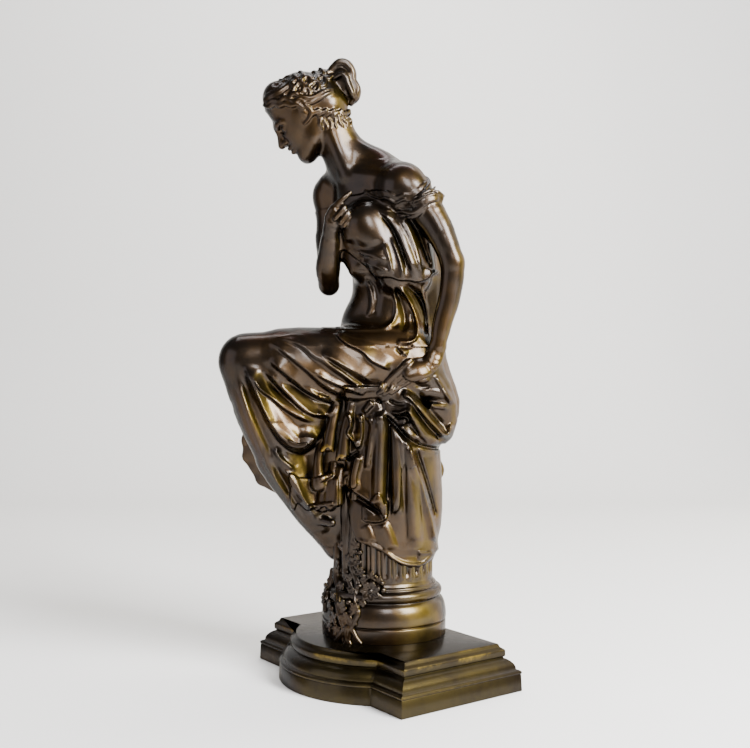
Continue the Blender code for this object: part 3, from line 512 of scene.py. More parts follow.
def hair(clay):
    ball(clay, headSpot(-1.5, 0, 3.5), (34, 28.5, 37.5), 2, headMatrix)
    ball(clay, headSpot(-19, 0, -8), (19, 25, 21), 6, headMatrix)
    # the wrap that gathers the back hair smoothly up to the knot
    roll(clay, headPath((-20, 0, -7), (-25, 0, 5), (-33, 0, 17)), [20.5, 16, 10], 5)
    ball(clay, headSpot(14, 0, 20), (19.5, 24.5, 25), 4, headMatrix)
    bare.update(clay, field=clay["field"].copy())
    # hair in front of the ribbon: low waves over the brow
    for k in range(4):
        lock(clay, wavy((-115 + 3.4 * k, 580 + 5.0 * k), (-104 + 5 * k, 586 + 4.2 * k), 0, 0.9, 1.5, k),
            [0.8, 1.6, 1.2], 1.0, -0.2)
    # smooth ribbon with two thin raised edges
    lock(clay, [(-119, 574.5), (-112, 578), (-104, 583), (-97, 588.5), (-93, 593), (-90, 598)],
        [4.2, 4.6, 4.6, 4.4, 4.2], 0.8, -2.4)
    lock(clay, [(-118.5, 578.5), (-112, 582.5), (-105, 586.5), (-98, 591.5), (-94, 597)], [0.9, 1.0, 1.0, 0.9], 0.6,
        0.3)
    lock(clay, [(-119, 571.5), (-111, 574.5), (-103, 578), (-97, 582.5), (-91, 588), (-88, 595)], [0.9, 1.1, 1.1, 0.9],
        0.6, 0.3)
    # small waves that edge the brow, from the forehead to the ear
    lock(clay, [(-119, 569), (-114, 567.5), (-109, 570), (-104, 568.5), (-98, 570.5), (-92, 568.5), (-86, 569.5),
        (-81, 566)], [2.0, 2.6, 2.8, 2.8, 2.6, 2.2], 0.8, 0.8)
    lock(clay, [(-116, 571), (-110, 573.5), (-104, 572.5), (-100, 576), (-95, 575.5), (-91, 579.5), (-87, 580)],
        [1.6, 2.4, 2.6, 2.4], 0.8, 0.8)
    lock(clay, [(-99, 571.5), (-94, 573.5), (-89, 572), (-84, 574.5), (-79, 572)], [1.6, 2.3, 2.3, 1.6], 0.8, 0.8)
    lock(clay, [(-93, 581), (-90, 585), (-92, 590), (-88, 594), (-90, 599)], [1.8, 2.4, 2.4, 2.0], 0.8, 0.6)
    # loops of waved hair between the ribbon and the wrap
    for a, h, r, turnBy in ((-84, 586, 5.2, 0.3), (-84, 597, 4.6, 1.4), (-77, 592, 4.8, 0.9), (-77, 581, 4.4, 0.1),
        (-70, 597, 4.6, 1.2), (-69, 587, 5.0, 0.5), (-62, 592, 4.6, 0.8), (-64, 601, 3.6, 1.5), (-56, 598, 3.6, 1.2)):
        ring = []
        for k in range(11):
            b = turnBy + math.tau * 0.80 * k / 10
            ring.append((a - r * 0.72 * math.cos(b), h + r * math.sin(b)))
        lock(clay, ring, [1.7, 2.3, 2.1, 1.4], 0.7, 0.5)
        lock(clay, [(a - 0.8, h - 1.4), (a + 0.8, h + 1.6)], [1.5, 1.2], 0.6, 0.4)
    lock(clay, [(-88, 579), (-82, 577), (-76, 575.5), (-70, 576.5), (-64, 580), (-58, 583), (-52, 584)],
        [1.8, 2.6, 2.8, 2.6, 1.6], 0.8, 0.6)
    lock(clay, [(-83, 571), (-77, 570.5), (-71, 572), (-65, 575.5), (-58, 579.5), (-51, 582)],
        [1.8, 2.4, 2.8, 2.4, 1.2], 0.8, 0.6)
    # ear with the curl round it
    for side in (1, -1):
        ball(clay, headSpot(5, side * 26, -4), (4, 3, 6.5), 1.5, headMatrix)
    lock(clay, [(-79, 568), (-75.5, 566.5), (-73, 562.5), (-74, 557), (-77, 552.5), (-80, 549.5)],
        [1.5, 2.2, 2.2, 1.9, 1.3], 0.5, 1.6)
    # braid from the ear to the nape: beads that slant to and fro
    for k in range(10):
        a = -71 + 3.7 * k
        h = 561.5 + (0.9 if k % 2 else -0.9) - 0.08 * k
        lock(clay, [(a - 1.6, h - 1.5), (a + 1.6, h + 1.5)], [2.3, 2.3], 0.4, 1.2)
    # short curls of the nape, swept down and back
    for k in range(7):
        a = -66 + 4.6 * k
        lock(clay, wavy((a, 558.5), (a + 3.5 + 0.5 * k, 544.5 + 0.5 * k), 0.8, 0.9, 1.2, k * 1.7, 10),
            [1.8, 2.1, 1.7, 0.9], 0.6, 0.2)
    # knot: a loop of twisted hair standing on the back of the head
    turnIt = turnMatrix((0.62, 0, -0.78), (0.78, 0, 0.62))
    roll(clay, path((-50, 594, 1), (-42, 587, 1), (-35, 575, 1)), [8.5, 9.5, 5], 3)
    ball(clay, spot(-39, 594, 1), (15, 10.5, 8.5), 2.5, turnIt)
    outer = path((-56, 598, 0), (-51, 604.5, 0), (-44, 609.5, 0), (-37.5, 608, 0), (-33, 601.5, 0), (-32, 593, 0),
        (-28, 584.5, 0), (-28.5, 577, 0), (-33, 570, 0))
    roll(clay, outer, [3.4, 4.6, 5.6, 5.8, 5.4, 5.0, 5.2, 4.6, 2.4], 1.2, flat=((0, 1, 0), 1.9))
    for side in (-1, 1):
        for k in range(3):
            y = side * (4.5 + 3.4 * k)
            roll(clay, path((-52 + 1.4 * k, 599 - 1.2 * k, y), (-45 + 1.2 * k, 605 - 2.4 * k, y + side),
                (-38.5, 603 - 3 * k, y + side), (-35 - 0.5 * k, 594 - 2.4 * k, y + side), (-31 - 0.6 * k, 583 - k, y),
                (-31.5, 575 + 1.5 * k, y - side)),
                 [1.8, 2.6, 2.8, 2.6, 2.6, 1.8], 0.6)


def legs(clay):
    roll(clay, path((22, 306, -26), (-24, 310, -34), (-84, 316, -37), (-137.5, 314, -36)), [33, 34.5, 30, 25], 16)
    roll(clay, path((-136.5, 311, -36), (-128, 268, -36), (-109, 222, -30), (-78, 172, -20), (-46, 130, -6)),
        [24, 24, 22, 18, 13], 12)
    roll(clay, path((18, 306, 28), (-24, 308, 32), (-74, 311, 34), (-120, 306, 34)), [36, 34, 28, 23], 16)
    roll(clay, path((-120, 304, 34), (-116, 262, 34), (-99, 220, 28), (-74, 170, 16), (-44, 130, 4)),
        [23, 22, 20, 17, 13], 12)
    roll(clay, path((-112, 300, 0), (-110, 262, 0), (-92, 216, 0), (-62, 166, 0), (-38, 132, 0)), [22, 23, 22, 18, 14],
        16)
    roll(clay, path((-114, 290, 0), (-86, 236, 0), (-54, 176, 0)), [24, 28, 24], 20)
    roll(clay, path((-54, 284, 0), (-40, 226, 0), (-30, 168, 0)), [38, 38, 30], 20)
    roll(clay, path((16, 300, 0), (4, 262, 0), (0, 220, 0)), [44, 46, 44], 16)
    hem = [(-131, 252, 26), (-139, 243, 28), (-142, 233, 29), (-140.5, 223, 29), (-141, 215, 29), (-134, 207, 28),
        (-130, 199, 27), (-126, 192, 26), (-119, 188, 25), (-111, 184.5, 24), (-101, 178, 22)]
    edge, _ = smoothPath([np.array(h, float) for h in hem], [0] * len(hem), 2.2)
    for k, (a, u, y) in enumerate(edge):
        roll(clay, path((a + 2, u, y), (a + 16, u + 7, y - 4), (a + 32, u + 10, y - 14)),
            [2.2 + 0.5 * math.sin(k * 0.8), 6, 10], 2.5)
    # the lap cloth hangs in a pocket between the thigh and the shin
    ball(clay, spot(-91, 262, -30), (37, 27, 37), 9)


lowHem = curveOf([(-60, 160), (-34, 150), (-30, 140), (-28, 134), (-20, 131), (-10, 127), (0, 122), (10, 114),
    (20, 109), (33, 107.5), (43, 112), (52, 122), (60, 130)])
topHem = curveOf([(-60, 190), (-40, 187), (-30, 181), (-20, 175), (-10, 168.5), (0, 162), (4, 158), (60, 158)])
sheathReach = curveOf([(100, 53.5), (110, 54.5), (118, 52.5), (124, 55.5), (133, 54), (148, 57.5), (165, 59), (182, 59),
    (205, 58), (222, 57), (240, 60), (265, 66)])


def fallingCloth(clay):
    # the cloth that falls over the column: a sheath with its own hem, deeper folds are drawn on it
    where, grid = window(clay, (-80, -80, 90), (80, 80, 300))
    x, y, z = grid
    across, up = sheetOf(grid)
    r = np.sqrt(x * x + y * y)
    front = np.clip((16 - y) / 14, 0, 1)
    angle = np.arctan2(x, -y)
    wave = 1.8 * np.sin(angle * 11 + 0.4 * np.sin(z / 14)) + 1.0 * np.sin(angle * 17 + 1 + z / 40)
    hem = lowHem(across) * front + (1 - front) * (128 + 4 * np.sin(angle * 6))
    rim = np.clip((across - 10) / 30, 0, 1)
    reach = 54.5 * (1 - rim) + sheathReach(up) * rim
    body = r - (reach * front + (1 - front) * (56.5 + wave))
    d = np.maximum(np.maximum(body, (hem - up) * 0.9), z - 272)
    d = np.where((y < -8) & (across < -34), np.maximum(d, (np.interp(across, [-70, -40, -34],
        [200, 190, 150]) - up) * 0.8), d)
    press(clay, where, d.astype(np.float32), 1.5)
    # upper layer of the front panel, with its slanting hem and the tip folded under it
    low, high = (-60, -80, 130), (30, -10, 290)
    layer(clay, low, high, 4.6, lambda a, u: np.maximum((topHem(a) - u) * 0.85,
        np.maximum(-38 - a, (a - np.interp(u, [150, 165, 230], [3, 4, 10])) * 0.3)), 2.4, 2.5)
    layer(clay, low, high, 2.6, lambda a, u: np.maximum((np.interp(a, [-22, -14, -6, 0, 4.5],
        [154, 152.5, 152, 153.5, 157.5]) - u) * 0.85, np.maximum(-22 - a, np.maximum((u - 170) * 0.6, (a - 3) * 0.5))),
        1.4, 1.2)
    # bunched tubes and sheets at the left, between the leg and the column
    for top, middle, foot, wide in (((-47, 270, -44), (-52.5, 246, -47), (-56.5, 224, -48), 5.6),
        ((-33, 268, -50), (-39, 242, -52), (-42, 215, -52), 5.2), ((-62, 236, -38), (-66, 212, -42), (-65, 190, -42),
        4.6)):
        roll(clay, path(top, middle, foot), [4.4, wide, wide + 1.4], 2.0)
        roll(clay, path((foot[0], foot[1] - 7, foot[2]), (foot[0], foot[1] - 14, foot[2])), [wide + 1.5, wide + 3], 0.8,
            cut=True)
        roll(clay, path((foot[0] + 0.5, foot[1] + 8, foot[2] - 1.5), (foot[0], foot[1] - 4, foot[2] - 2)),
            [wide * 0.3, wide], 0.8, cut=True)
    for a, top, foot, y, wide in ((-74, 226, 166, -22, 5), (-67, 214, 165.5, -30, 5.4), (-59.5, 210, 167, -36, 5),
        (-52.5, 208, 168, -41, 5), (-46, 204, 172, -45, 4.6)):
        roll(clay, path((a + 3, top, y + 6), (a + 0.6, (top + foot) / 2, y), (a - 0.5, foot, y - 1)),
            [wide, wide, wide + 0.6], 2.2)
    layer(clay, (-90, -70, 150), (-40, 10, 240), 2.4, lambda a, u: np.maximum((166 + 2 * np.sin(a * 0.5) - u) * 0.8,
        np.maximum((u - 196) * 0.3, a + 46)), 1.5)
    roll(clay, path((-76, 162, -20), (-66, 155, -28), (-52, 151, -38)), [4, 5, 4], 3)
    roll(clay, path((-70, 156, -18), (-60, 148, -26)), [5, 5], 3)


def shaft(clay):
    where, grid = window(clay, (-70, -70, 40), (70, 70, 300))
    x, y, z = grid
    r = np.sqrt(x * x + y * y)
    a = np.arctan2(y, x)
    scoop = 2.8 * np.clip(np.abs(np.cos(a * 14)) * 1.5 - 0.35, 0, 1) * np.clip((z - 105) / 7, 0, 1)
    d = np.maximum(np.maximum(r - 49 + scoop, 90 - z), z - 290)
    press(clay, where, d.astype(np.float32), 0.5)


def backCloth(clay):
    roll(clay, path((30, 452, -6), (37, 430, -4), (40, 400, -2), (39, 350, 0), (34, 300, 4)), [14, 17, 20, 20, 22], 12)
    roll(clay, path((8, 440, 34), (18, 390, 36), (26, 340, 36), (30, 300, 36)), [14, 16, 20, 24], 14)
    roll(clay, path((22, 430, 14), (26, 370, 16), (28, 310, 18)), [22, 24, 27], 14)
    # cloth ends that show behind the wrist and the column
    roll(clay, path((50, 304, 14), (56, 292, 12), (54, 280, 10)), [8, 8, 8], 4)
    roll(clay, path((50, 216, 20), (55, 204, 18), (51, 192, 16)), [5, 5.5, 4], 3)


def puff(clay):
    roll(clay, path((24, 300, -34), (46, 290, -30), (58, 268, -22), (56, 244, -16), (36, 236, -34)),
        [16, 17, 15, 14, 14], 8)
    roll(clay, path((46, 300, -10), (60, 272, 6), (56, 244, 12)), [18, 16, 14], 8)
    roll(clay, path((10, 282, -46), (26, 262, -48), (44, 240, -38)), [12, 13, 10], 6)


def drawLap(relief):
    c = pen(relief, 1.25)
    # pleats of the lap, from the knee to the waist: a broad side above each crest and a short drop below it
    c([(-112, 339), (-92, 333), (-80, 327), (-70, 318), (-60, 313), (-50, 306), (-40, 299), (-30, 291), (-17, 280)],
        3.8, 11, 4)
    c([(-62, 317), (-50, 309.5), (-40, 303), (-30, 296), (-12, 285)], -2.6, 3, 3, taper=0.25)
    c([(-64, 322), (-50, 314), (-40, 308), (-30, 302.5), (-20, 297), (-9, 290)], 4.4, 13, 2.6)
    c([(-50, 342), (-42, 334), (-34, 328.5), (-26, 325), (-20, 321), (-14, 314.5), (-8, 310.5), (2, 306), (7, 303.5)],
        4.6, 13, 2.0, taper=0.12)
    c([(11, 330), (16, 325), (23, 318)], 2.6, 6, 2.5)
    c([(12, 326), (18, 320)], -2.4, 3, 3)
    # second bundle
    c([(-118, 333), (-105, 326), (-95, 318), (-85, 310), (-75, 302), (-65, 293), (-55, 286), (-45, 281), (-34, 274)],
        4.4, 13, 3.5)
    c([(-72, 303), (-60, 295.5), (-50, 290.6), (-40, 286.5), (-30, 282.5), (-17, 278)], 3.6, 8, 2.2)
    c([(-116, 317), (-110, 310), (-100, 301.5), (-90, 293.5), (-80, 285.5), (-70, 279.5), (-60, 275.5), (-50, 273),
        (-41, 271)], 6.0, 15, 3.2)
    # hanging loops under the thigh
    c([(-122, 306), (-114, 298), (-106, 290), (-99, 282.5), (-92, 275.5), (-86, 269.5), (-80, 264.5), (-74, 261),
        (-67, 259), (-59, 259), (-51, 261), (-46, 264)], 5.6, 12, 3.0)
    c([(-136, 304), (-131, 296), (-126, 288), (-120, 282), (-112, 276.5), (-104, 269.5), (-95, 263), (-85, 257.5),
        (-75, 253.5), (-67, 252)], 5.4, 9, 3.0)
    # the deep hanging bowl and its rim
    c([(-139, 311), (-136, 300), (-131, 289), (-127, 280), (-123, 271), (-119, 262), (-114, 252), (-108, 243),
        (-103, 236), (-97, 230.5), (-91, 226.5), (-84, 224.5), (-77, 228), (-69, 236), (-61, 245)],
      8.0, 20, 5.0, taper=0.12)
    c([(-112, 248), (-104, 239), (-94, 232), (-84, 229), (-74, 234), (-66, 243)], 5.0, 22, 7, taper=0.4, keen=1)
    c([(-112, 226), (-107, 219), (-100, 212), (-88, 203)], 3.0, 6, 3)
    c([(-104, 222), (-96, 212), (-86, 206)], -1.6, 4, 4)
    # shin
    c([(-148, 306), (-147, 292), (-143, 280), (-139, 268), (-135, 256), (-131, 245), (-126, 232), (-119, 214),
        (-106, 190), (-88, 165)], 3.2, 7, 4)
    c([(-141, 300), (-138, 288), (-134, 274), (-129, 260), (-123, 246), (-116, 231), (-106, 212)], -2.4, 5, 5, keen=1)
    c([(-155, 285), (-150, 265), (-143, 245), (-134, 225), (-124, 205)], -2.4, 5, 5)
    c([(-112, 216), (-102, 196), (-88, 172), (-72, 150)], -3.0, 6, 6)
    c([(-100, 206), (-88, 188), (-76, 168), (-64, 150)], 3.2, 7, 5)


def drawFall(relief):
    c = pen(relief, 0)
    # the leaf-shaped turn-over at the left of the panel; travel is downwards, so left is the right-hand side
    c([(-37, 262), (-34, 250), (-37, 241), (-31, 233), (-25.5, 224)], 4.2, 7, 1.6, taper=0.1, keen=1.5)
    c([(-25, 223), (-32, 218.5), (-38, 214)], -3.4, 3, 3, taper=0.1, keen=1.5)
    c([(-23, 262), (-22, 250), (-22, 240), (-24, 229), (-25, 224)], 3.2, 2.2, 6, taper=0.15)
    # long rounded folds of the panel
    c([(-10, 272), (-16, 266), (-20, 260)], 2.8, 3, 5, taper=0.2)
    c([(-19, 257), (-14, 254), (-12, 247), (-13.5, 237), (-15, 227), (-16.4, 215), (-17, 204)], 4.0, 5, 3, taper=0.12)
    c([(-25, 222), (-29, 206), (-31, 194), (-28, 182)], 4.2, 7, 5)
    c([(-38, 206), (-39, 196), (-40, 187)], 2.8, 4, 3)
    c([(-4, 264), (-4, 245), (-4.6, 225), (-5.6, 205), (-6, 185), (-7, 166)], 6.2, 7.5, 7, taper=0.08)
    c([(5, 262), (5.5, 240), (5, 220), (4, 195), (3, 168)], -3.0, 3, 2.6, keen=1.5)
    c([(10, 254), (11, 238), (12, 222), (13, 200), (13, 175), (12, 150)], 4.2, 8, 6)
    c([(21, 244), (24, 222), (26, 200), (28, 175), (30, 150), (31, 124)], 5.2, 9, 8, taper=0.12)
    c([(26, 229), (33, 205), (38, 190), (43, 172), (48, 155), (51, 140), (52.5, 130)], 4.4, 2.2, 8, taper=0.08,
        keen=1.5)
    c([(31, 226), (38, 206), (43, 190), (48, 172), (52, 155)], -3.8, 4, 2, taper=0.1, keen=1.5)
    c([(-4, 152), (2, 140), (8, 122)], 3.4, 8, 8)
    c([(-20, 150), (-16, 140), (-13, 130)], 2.6, 6, 6)
    # the panel's turned-back hem, with the hollow under it
    c([(-38, 188), (-30, 183), (-20, 177), (-10, 170.5), (0, 164)], 2.0, 8, 2.0, taper=0.1, keen=1.5)
    c([(-36, 182), (-30, 178), (-20, 172), (-10, 165.5), (-2, 160)], -4.0, 3, 5, taper=0.12, keen=1)
    c([(-21, 153.5), (-10, 152), (-2, 153), (4, 157)], 3.6, 8, 1.4, taper=0.15, keen=1.5)
    # hem roll
    c([(-28, 134), (-20, 131.5), (-10, 127.5), (0, 122.5), (10, 115), (20, 110), (33, 108.5), (43, 113), (52, 123)],
        1.8, 3, 2, taper=0.05)
    c([(33, 122), (43, 121), (50, 124)], 3.0, 2, 9)
    # left sheets
    c([(-76, 165.5), (-65, 168), (-50, 169.5)], 2.2, 4, 1.4, taper=0.1)
    c([(-66, 192), (-59, 195), (-50, 201)], 2.4, 5, 2)


def drawPuff(relief):
    c = pen(relief, 0, 1.3)
    c([(16, 280), (24, 277), (29, 272.5), (34, 267), (40, 260), (46, 253), (52, 247), (57, 241.5), (61, 238.5),
        (65, 240), (67, 246), (65, 252)], 4.2, 7, 3.4, taper=0.08, keen=1.25)
    c([(36, 275), (42, 268), (48, 260), (54, 253), (60, 247)], -2.2, 6, 4, taper=0.25, keen=1)
    c([(28, 268), (34, 261), (40, 253), (46, 245), (52, 239), (57, 233)], -2.6, 3, 4, taper=0.15, keen=1)
    c([(20, 270), (25, 266), (28, 259), (31, 251), (35, 244), (41, 237), (47, 232)], 3.2, 5.5, 4)
    c([(24, 262), (28, 252), (32, 243), (37, 236)], -1.6, 2.4, 2.4, keen=1)
    c([(6, 261), (15, 260.5), (22, 263), (26, 259.5), (28, 250)], 3.2, 3.5, 2, taper=0.15, keen=1.25)
    c([(11, 256.5), (19, 258), (24.5, 256), (25, 249)], -3.0, 2.4, 4, keen=1)
    c([(14, 250), (22, 243), (30, 237), (40, 232)], 2.4, 6, 3)
    c([(34, 279.5), (44, 279), (54, 279), (63, 277), (69, 269)], 1.6, 7, 4)
    c([(44, 269.5), (54, 267.5), (65, 266)], 1.8, 4, 3)
    c([(50, 300), (55.5, 291.5), (60, 284), (65, 276), (69, 268)], 2.0, 4, 3)
    c([(30, 290), (38, 287), (47, 288)], -1.6, 3, 3, keen=1)
    c([(28, 296), (38, 293), (46, 296)], 2.0, 4, 3)
    c([(0, 260), (8, 253), (14, 246.5), (20, 239.5), (28, 232.5), (38, 228.5), (48, 226.5), (54, 227), (61, 231)], -3.6,
        1.8, 5, taper=0.06, keen=1.5)
    # tie of cloth under the hand
    c([(4, 274), (14, 270), (22, 270)], -1.6, 3, 3, keen=1)
    c([(-8, 276), (-3, 270), (-1, 262)], -1.6, 3, 3, keen=1)


def drawTorso(relief):
    c = pen(relief, 1.5, 1.25)
    c([(-8, 468), (4, 456.5), (14, 442), (23, 421), (33, 395)], 3.4, 9, 3.6, keen=0)
    c([(-2, 459), (8, 446), (16, 428), (23, 405)], -1.8, 2.4, 2.4)
    c([(12, 463), (23, 447), (32, 427), (41, 401)], 2.2, 7, 4, keen=0)
    c([(24, 462), (33, 442), (41, 418), (46, 402)], -3.4, 6, 7, keen=1)
    c([(6, 438), (12, 424), (17, 408), (19, 395)], 2.0, 4.5, 2.4)
    c([(0, 432), (5, 416), (8, 399)], 1.5, 4, 3)
    c([(-38, 436), (-31, 430), (-20, 426), (-8, 427), (1, 433)], -1.6, 8, 6, keen=1)
    c([(-30, 424), (-16, 419), (-4, 416), (6, 412)], 1.1, 5, 3)
    c([(-26, 414), (-12, 409), (0, 404), (8, 400)], 1.0, 4, 3)
    # gathers beside the sleeve, and the loops that hang below them
    for k in range(6):
        c([(27 + 2.6 * k, 467.5 + 0.3 * k), (30.5 + 2.7 * k, 472 + 0.4 * k), (35 + 2.0 * k, 477 + 0.9 * k)], 1.3, 1.5,
            1.3)
    c([(9, 466), (18, 464.5), (26, 466), (33, 470)], 1.5, 2.2, 1.6)
    c([(11, 460.5), (20, 459), (28, 461.5), (34, 467)], 1.5, 2.2, 1.6)
    c([(18, 455.5), (26, 456.5), (32, 461), (37, 468)], 1.6, 2.4, 1.6)
    c([(30, 453), (36, 458), (40, 466)], 1.5, 2.2, 1.6)
    # below the overfold
    c([(12, 391), (24, 375), (31, 360), (34, 345), (32, 334)], 3.0, 5, 3)
    c([(8, 390), (17, 372), (21, 355), (18, 340)], -2.6, 5, 5)
    c([(7, 392), (11, 378), (12, 364), (8, 352), (-4, 345)], 1.8, 6, 3)
    c([(-20, 398), (-14, 384), (-13, 368), (-18, 355)], 1.6, 4, 3)
    c([(-10, 394), (-6, 376), (-10, 358)], -1.2, 5, 5)
    c([(20, 392), (34, 378), (42, 360), (43, 335)], -2.2, 4, 4)
    c([(36, 390), (42, 366), (45, 335)], 2.4, 3, 3)
    c([(12, 333), (20, 331.5), (30, 333.5), (34, 340)], 2.2, 4, 2)
    c([(10, 329), (20, 327.5), (30, 329)], -2.0, 2, 4)


def drawFar(relief):
    # plainer folds of the far side: over the thigh, down the shin, down the back
    c = pen(relief, 0)
    for k, bend, high in ((0, 0, 2.6), (12, 3, 1.6), (20, -2, 3.0), (35, 4, 2.0)):
        c([(-118 + 0.4 * k, 332 - k), (-80, 336 - 1.1 * k + bend), (-30, 330 - 1.2 * k - bend), (16, 314 - 1.25 * k)],
            high, 9, 4)
    for k, bend, high in ((0, 0, 2.8), (13, 3, 1.8), (22, -3, 3.0), (38, 2, 2.0)):
        c([(-128 + k, 296 - 0.3 * k), (-118 + k + bend, 250), (-98 + 1.1 * k, 205 + bend), (-66 + k, 150 + 0.4 * k)],
            high, 8, 4)
    for k, bend, high in ((0, 0, 2.4), (12, 3, 1.6), (20, -2, 2.8), (36, 2, 2.2)):
        c([(-6 + k, 452 - 0.2 * k), (2 + 0.9 * k + bend, 412), (6 + 0.85 * k - bend, 370), (4 + k, 320),
            (1.1 * k, 290)], high, 8, 4)
    c([(-36, 416), (-10, 402), (20, 398), (50, 408)], 2.2, 2, 4, keen=1.25)


def folds(clay):
    farRelief, sheetRelief = newRelief(), newRelief()
    drawFar(farRelief)
    carve(clay, farRelief, (-190, 0, 90), (100, 110, 520), lambda y: np.clip((y - 8) / 14, 0, 1))
    for draw in (drawLap, drawFall, drawPuff, drawTorso):
        draw(sheetRelief)
    carve(clay, sheetRelief, (-190, -110, 90), (100, 40, 520), lambda y: np.clip((14 - y) / 16, 0, 1))


def neckEdge(clay):
    # the rolled edge of the neckline, thinner at its ends
    radius, ends = 1.25, 0.8
    p = lay(clay, [(-19, 483), (-13, 479), (-8, 477.2), (-3, 475.6), (1, 476.6), (5, 475.4), (8, 473.4), (12, 471.6),
        (15, 472.8), (19, 475), (23, 475), (27, 472.6), (31, 475), (36, 479), (41, 484), (45, 489)], 0.9, 2.5)
    t = np.linspace(0, 1, len(p))
    roll(clay, p, radius * (ends + (1 - ends) * np.sqrt(np.sin(np.pi * np.clip(t, 0.02, 0.98)))), 0.7, every=1e9)


def sleeve(clay):
    # the gathered sleeve on the near arm
    roll(clay, path((32, 472, -58), (44, 476, -57.5), (55, 476, -50)), [3.6, 5.2, 4.8], 3)
    for k, (low, high) in enumerate(((0.2, 1.6), (-2.6, -1.6), (-5.0, -3.2), (-8.0, -4.0))):
        roll(clay, path((24 + 1.6 * k, 471.5 + 0.7 * low, -62), (33 + k, 474 + low, -64.5),
            (43, 477 + 0.5 * (low + high), -64), (51.5, 478 + high, -60), (57.5 - 0.8 * k, 476 + 0.8 * high, -51)),
             [0.7, 1.1, 1.4, 1.5, 0.9], 0.8)
    roll(clay, path((48, 483, -58), (54, 482, -56), (59.5, 478, -48)), [1.4, 1.9, 1.6], 0.8)
    roll(clay, path((30, 476, -63), (38, 481, -61), (43, 486, -57), (45.5, 491, -50), (43, 496, -42), (38, 497, -34)),
        [0.9, 1.3, 1.6, 1.8, 1.6, 1.3], 1.0)
    roll(clay, path((35, 477, -64), (42, 482, -62), (48, 484, -58), (51, 487, -50)), [1.0, 1.5, 1.6, 1.2], 0.8)
    # the pouch of cloth hanging from it, along the inner side of the arm
    roll(clay, path((18, 463, -60), (27, 461, -62), (34, 464, -63), (40, 469, -63)), [1.6, 2.2, 2.2, 1.6], 1.8)
    roll(clay, path((24, 456.5, -58), (31, 457.5, -60), (37, 462, -62), (43, 468, -62)), [1.4, 2.0, 2.0, 1.4], 1.8)


def build():
    clay = newClay((-190, -120, 40), (110, 120, 650), fineStep)
    for shape in (torso, dress, headOf, hair, backCloth, legs, shaft, fallingCloth, puff,
                  folds, neckEdge, nearArm, sleeve, farArm):
        shape(clay)
    return clay


def linear(hexColour):
    values = [int(hexColour[i:i + 2], 16) / 255 for i in (1, 3, 5)]
    return tuple(v / 12.92 if v <= 0.04045 else ((v + 0.055) / 1.055) ** 2.4 for v in values) + (1.0,)


def feed(tree, socket, value):
    # value is the socket that feeds this one, or what it is set to
    if isinstance(value, bpy.types.NodeSocket):
        tree.links.new(value, socket)
    else:
        socket.default_value = value


def addNode(tree, kind, properties, inputs):
    node = tree.nodes.new(kind)
    for name, value in properties.items():
        setattr(node, name, value)
    for name, value in inputs.items():
        feed(tree, node.inputs[name], value)
    return node


def ramp(tree, source, low, high, lowValue=0.0, highValue=1.0):
    # grey that eases from lowValue where source is low to highValue where it is high
    node = addNode(tree, "ShaderNodeValToRGB", {}, {0: source})
    node.color_ramp.interpolation = "EASE"
    for stop, position, value in zip(node.color_ramp.elements, (low, high), (lowValue, highValue)):
        stop.position = position
        stop.color = (value, value, value, 1.0)
    return node.outputs["Color"]


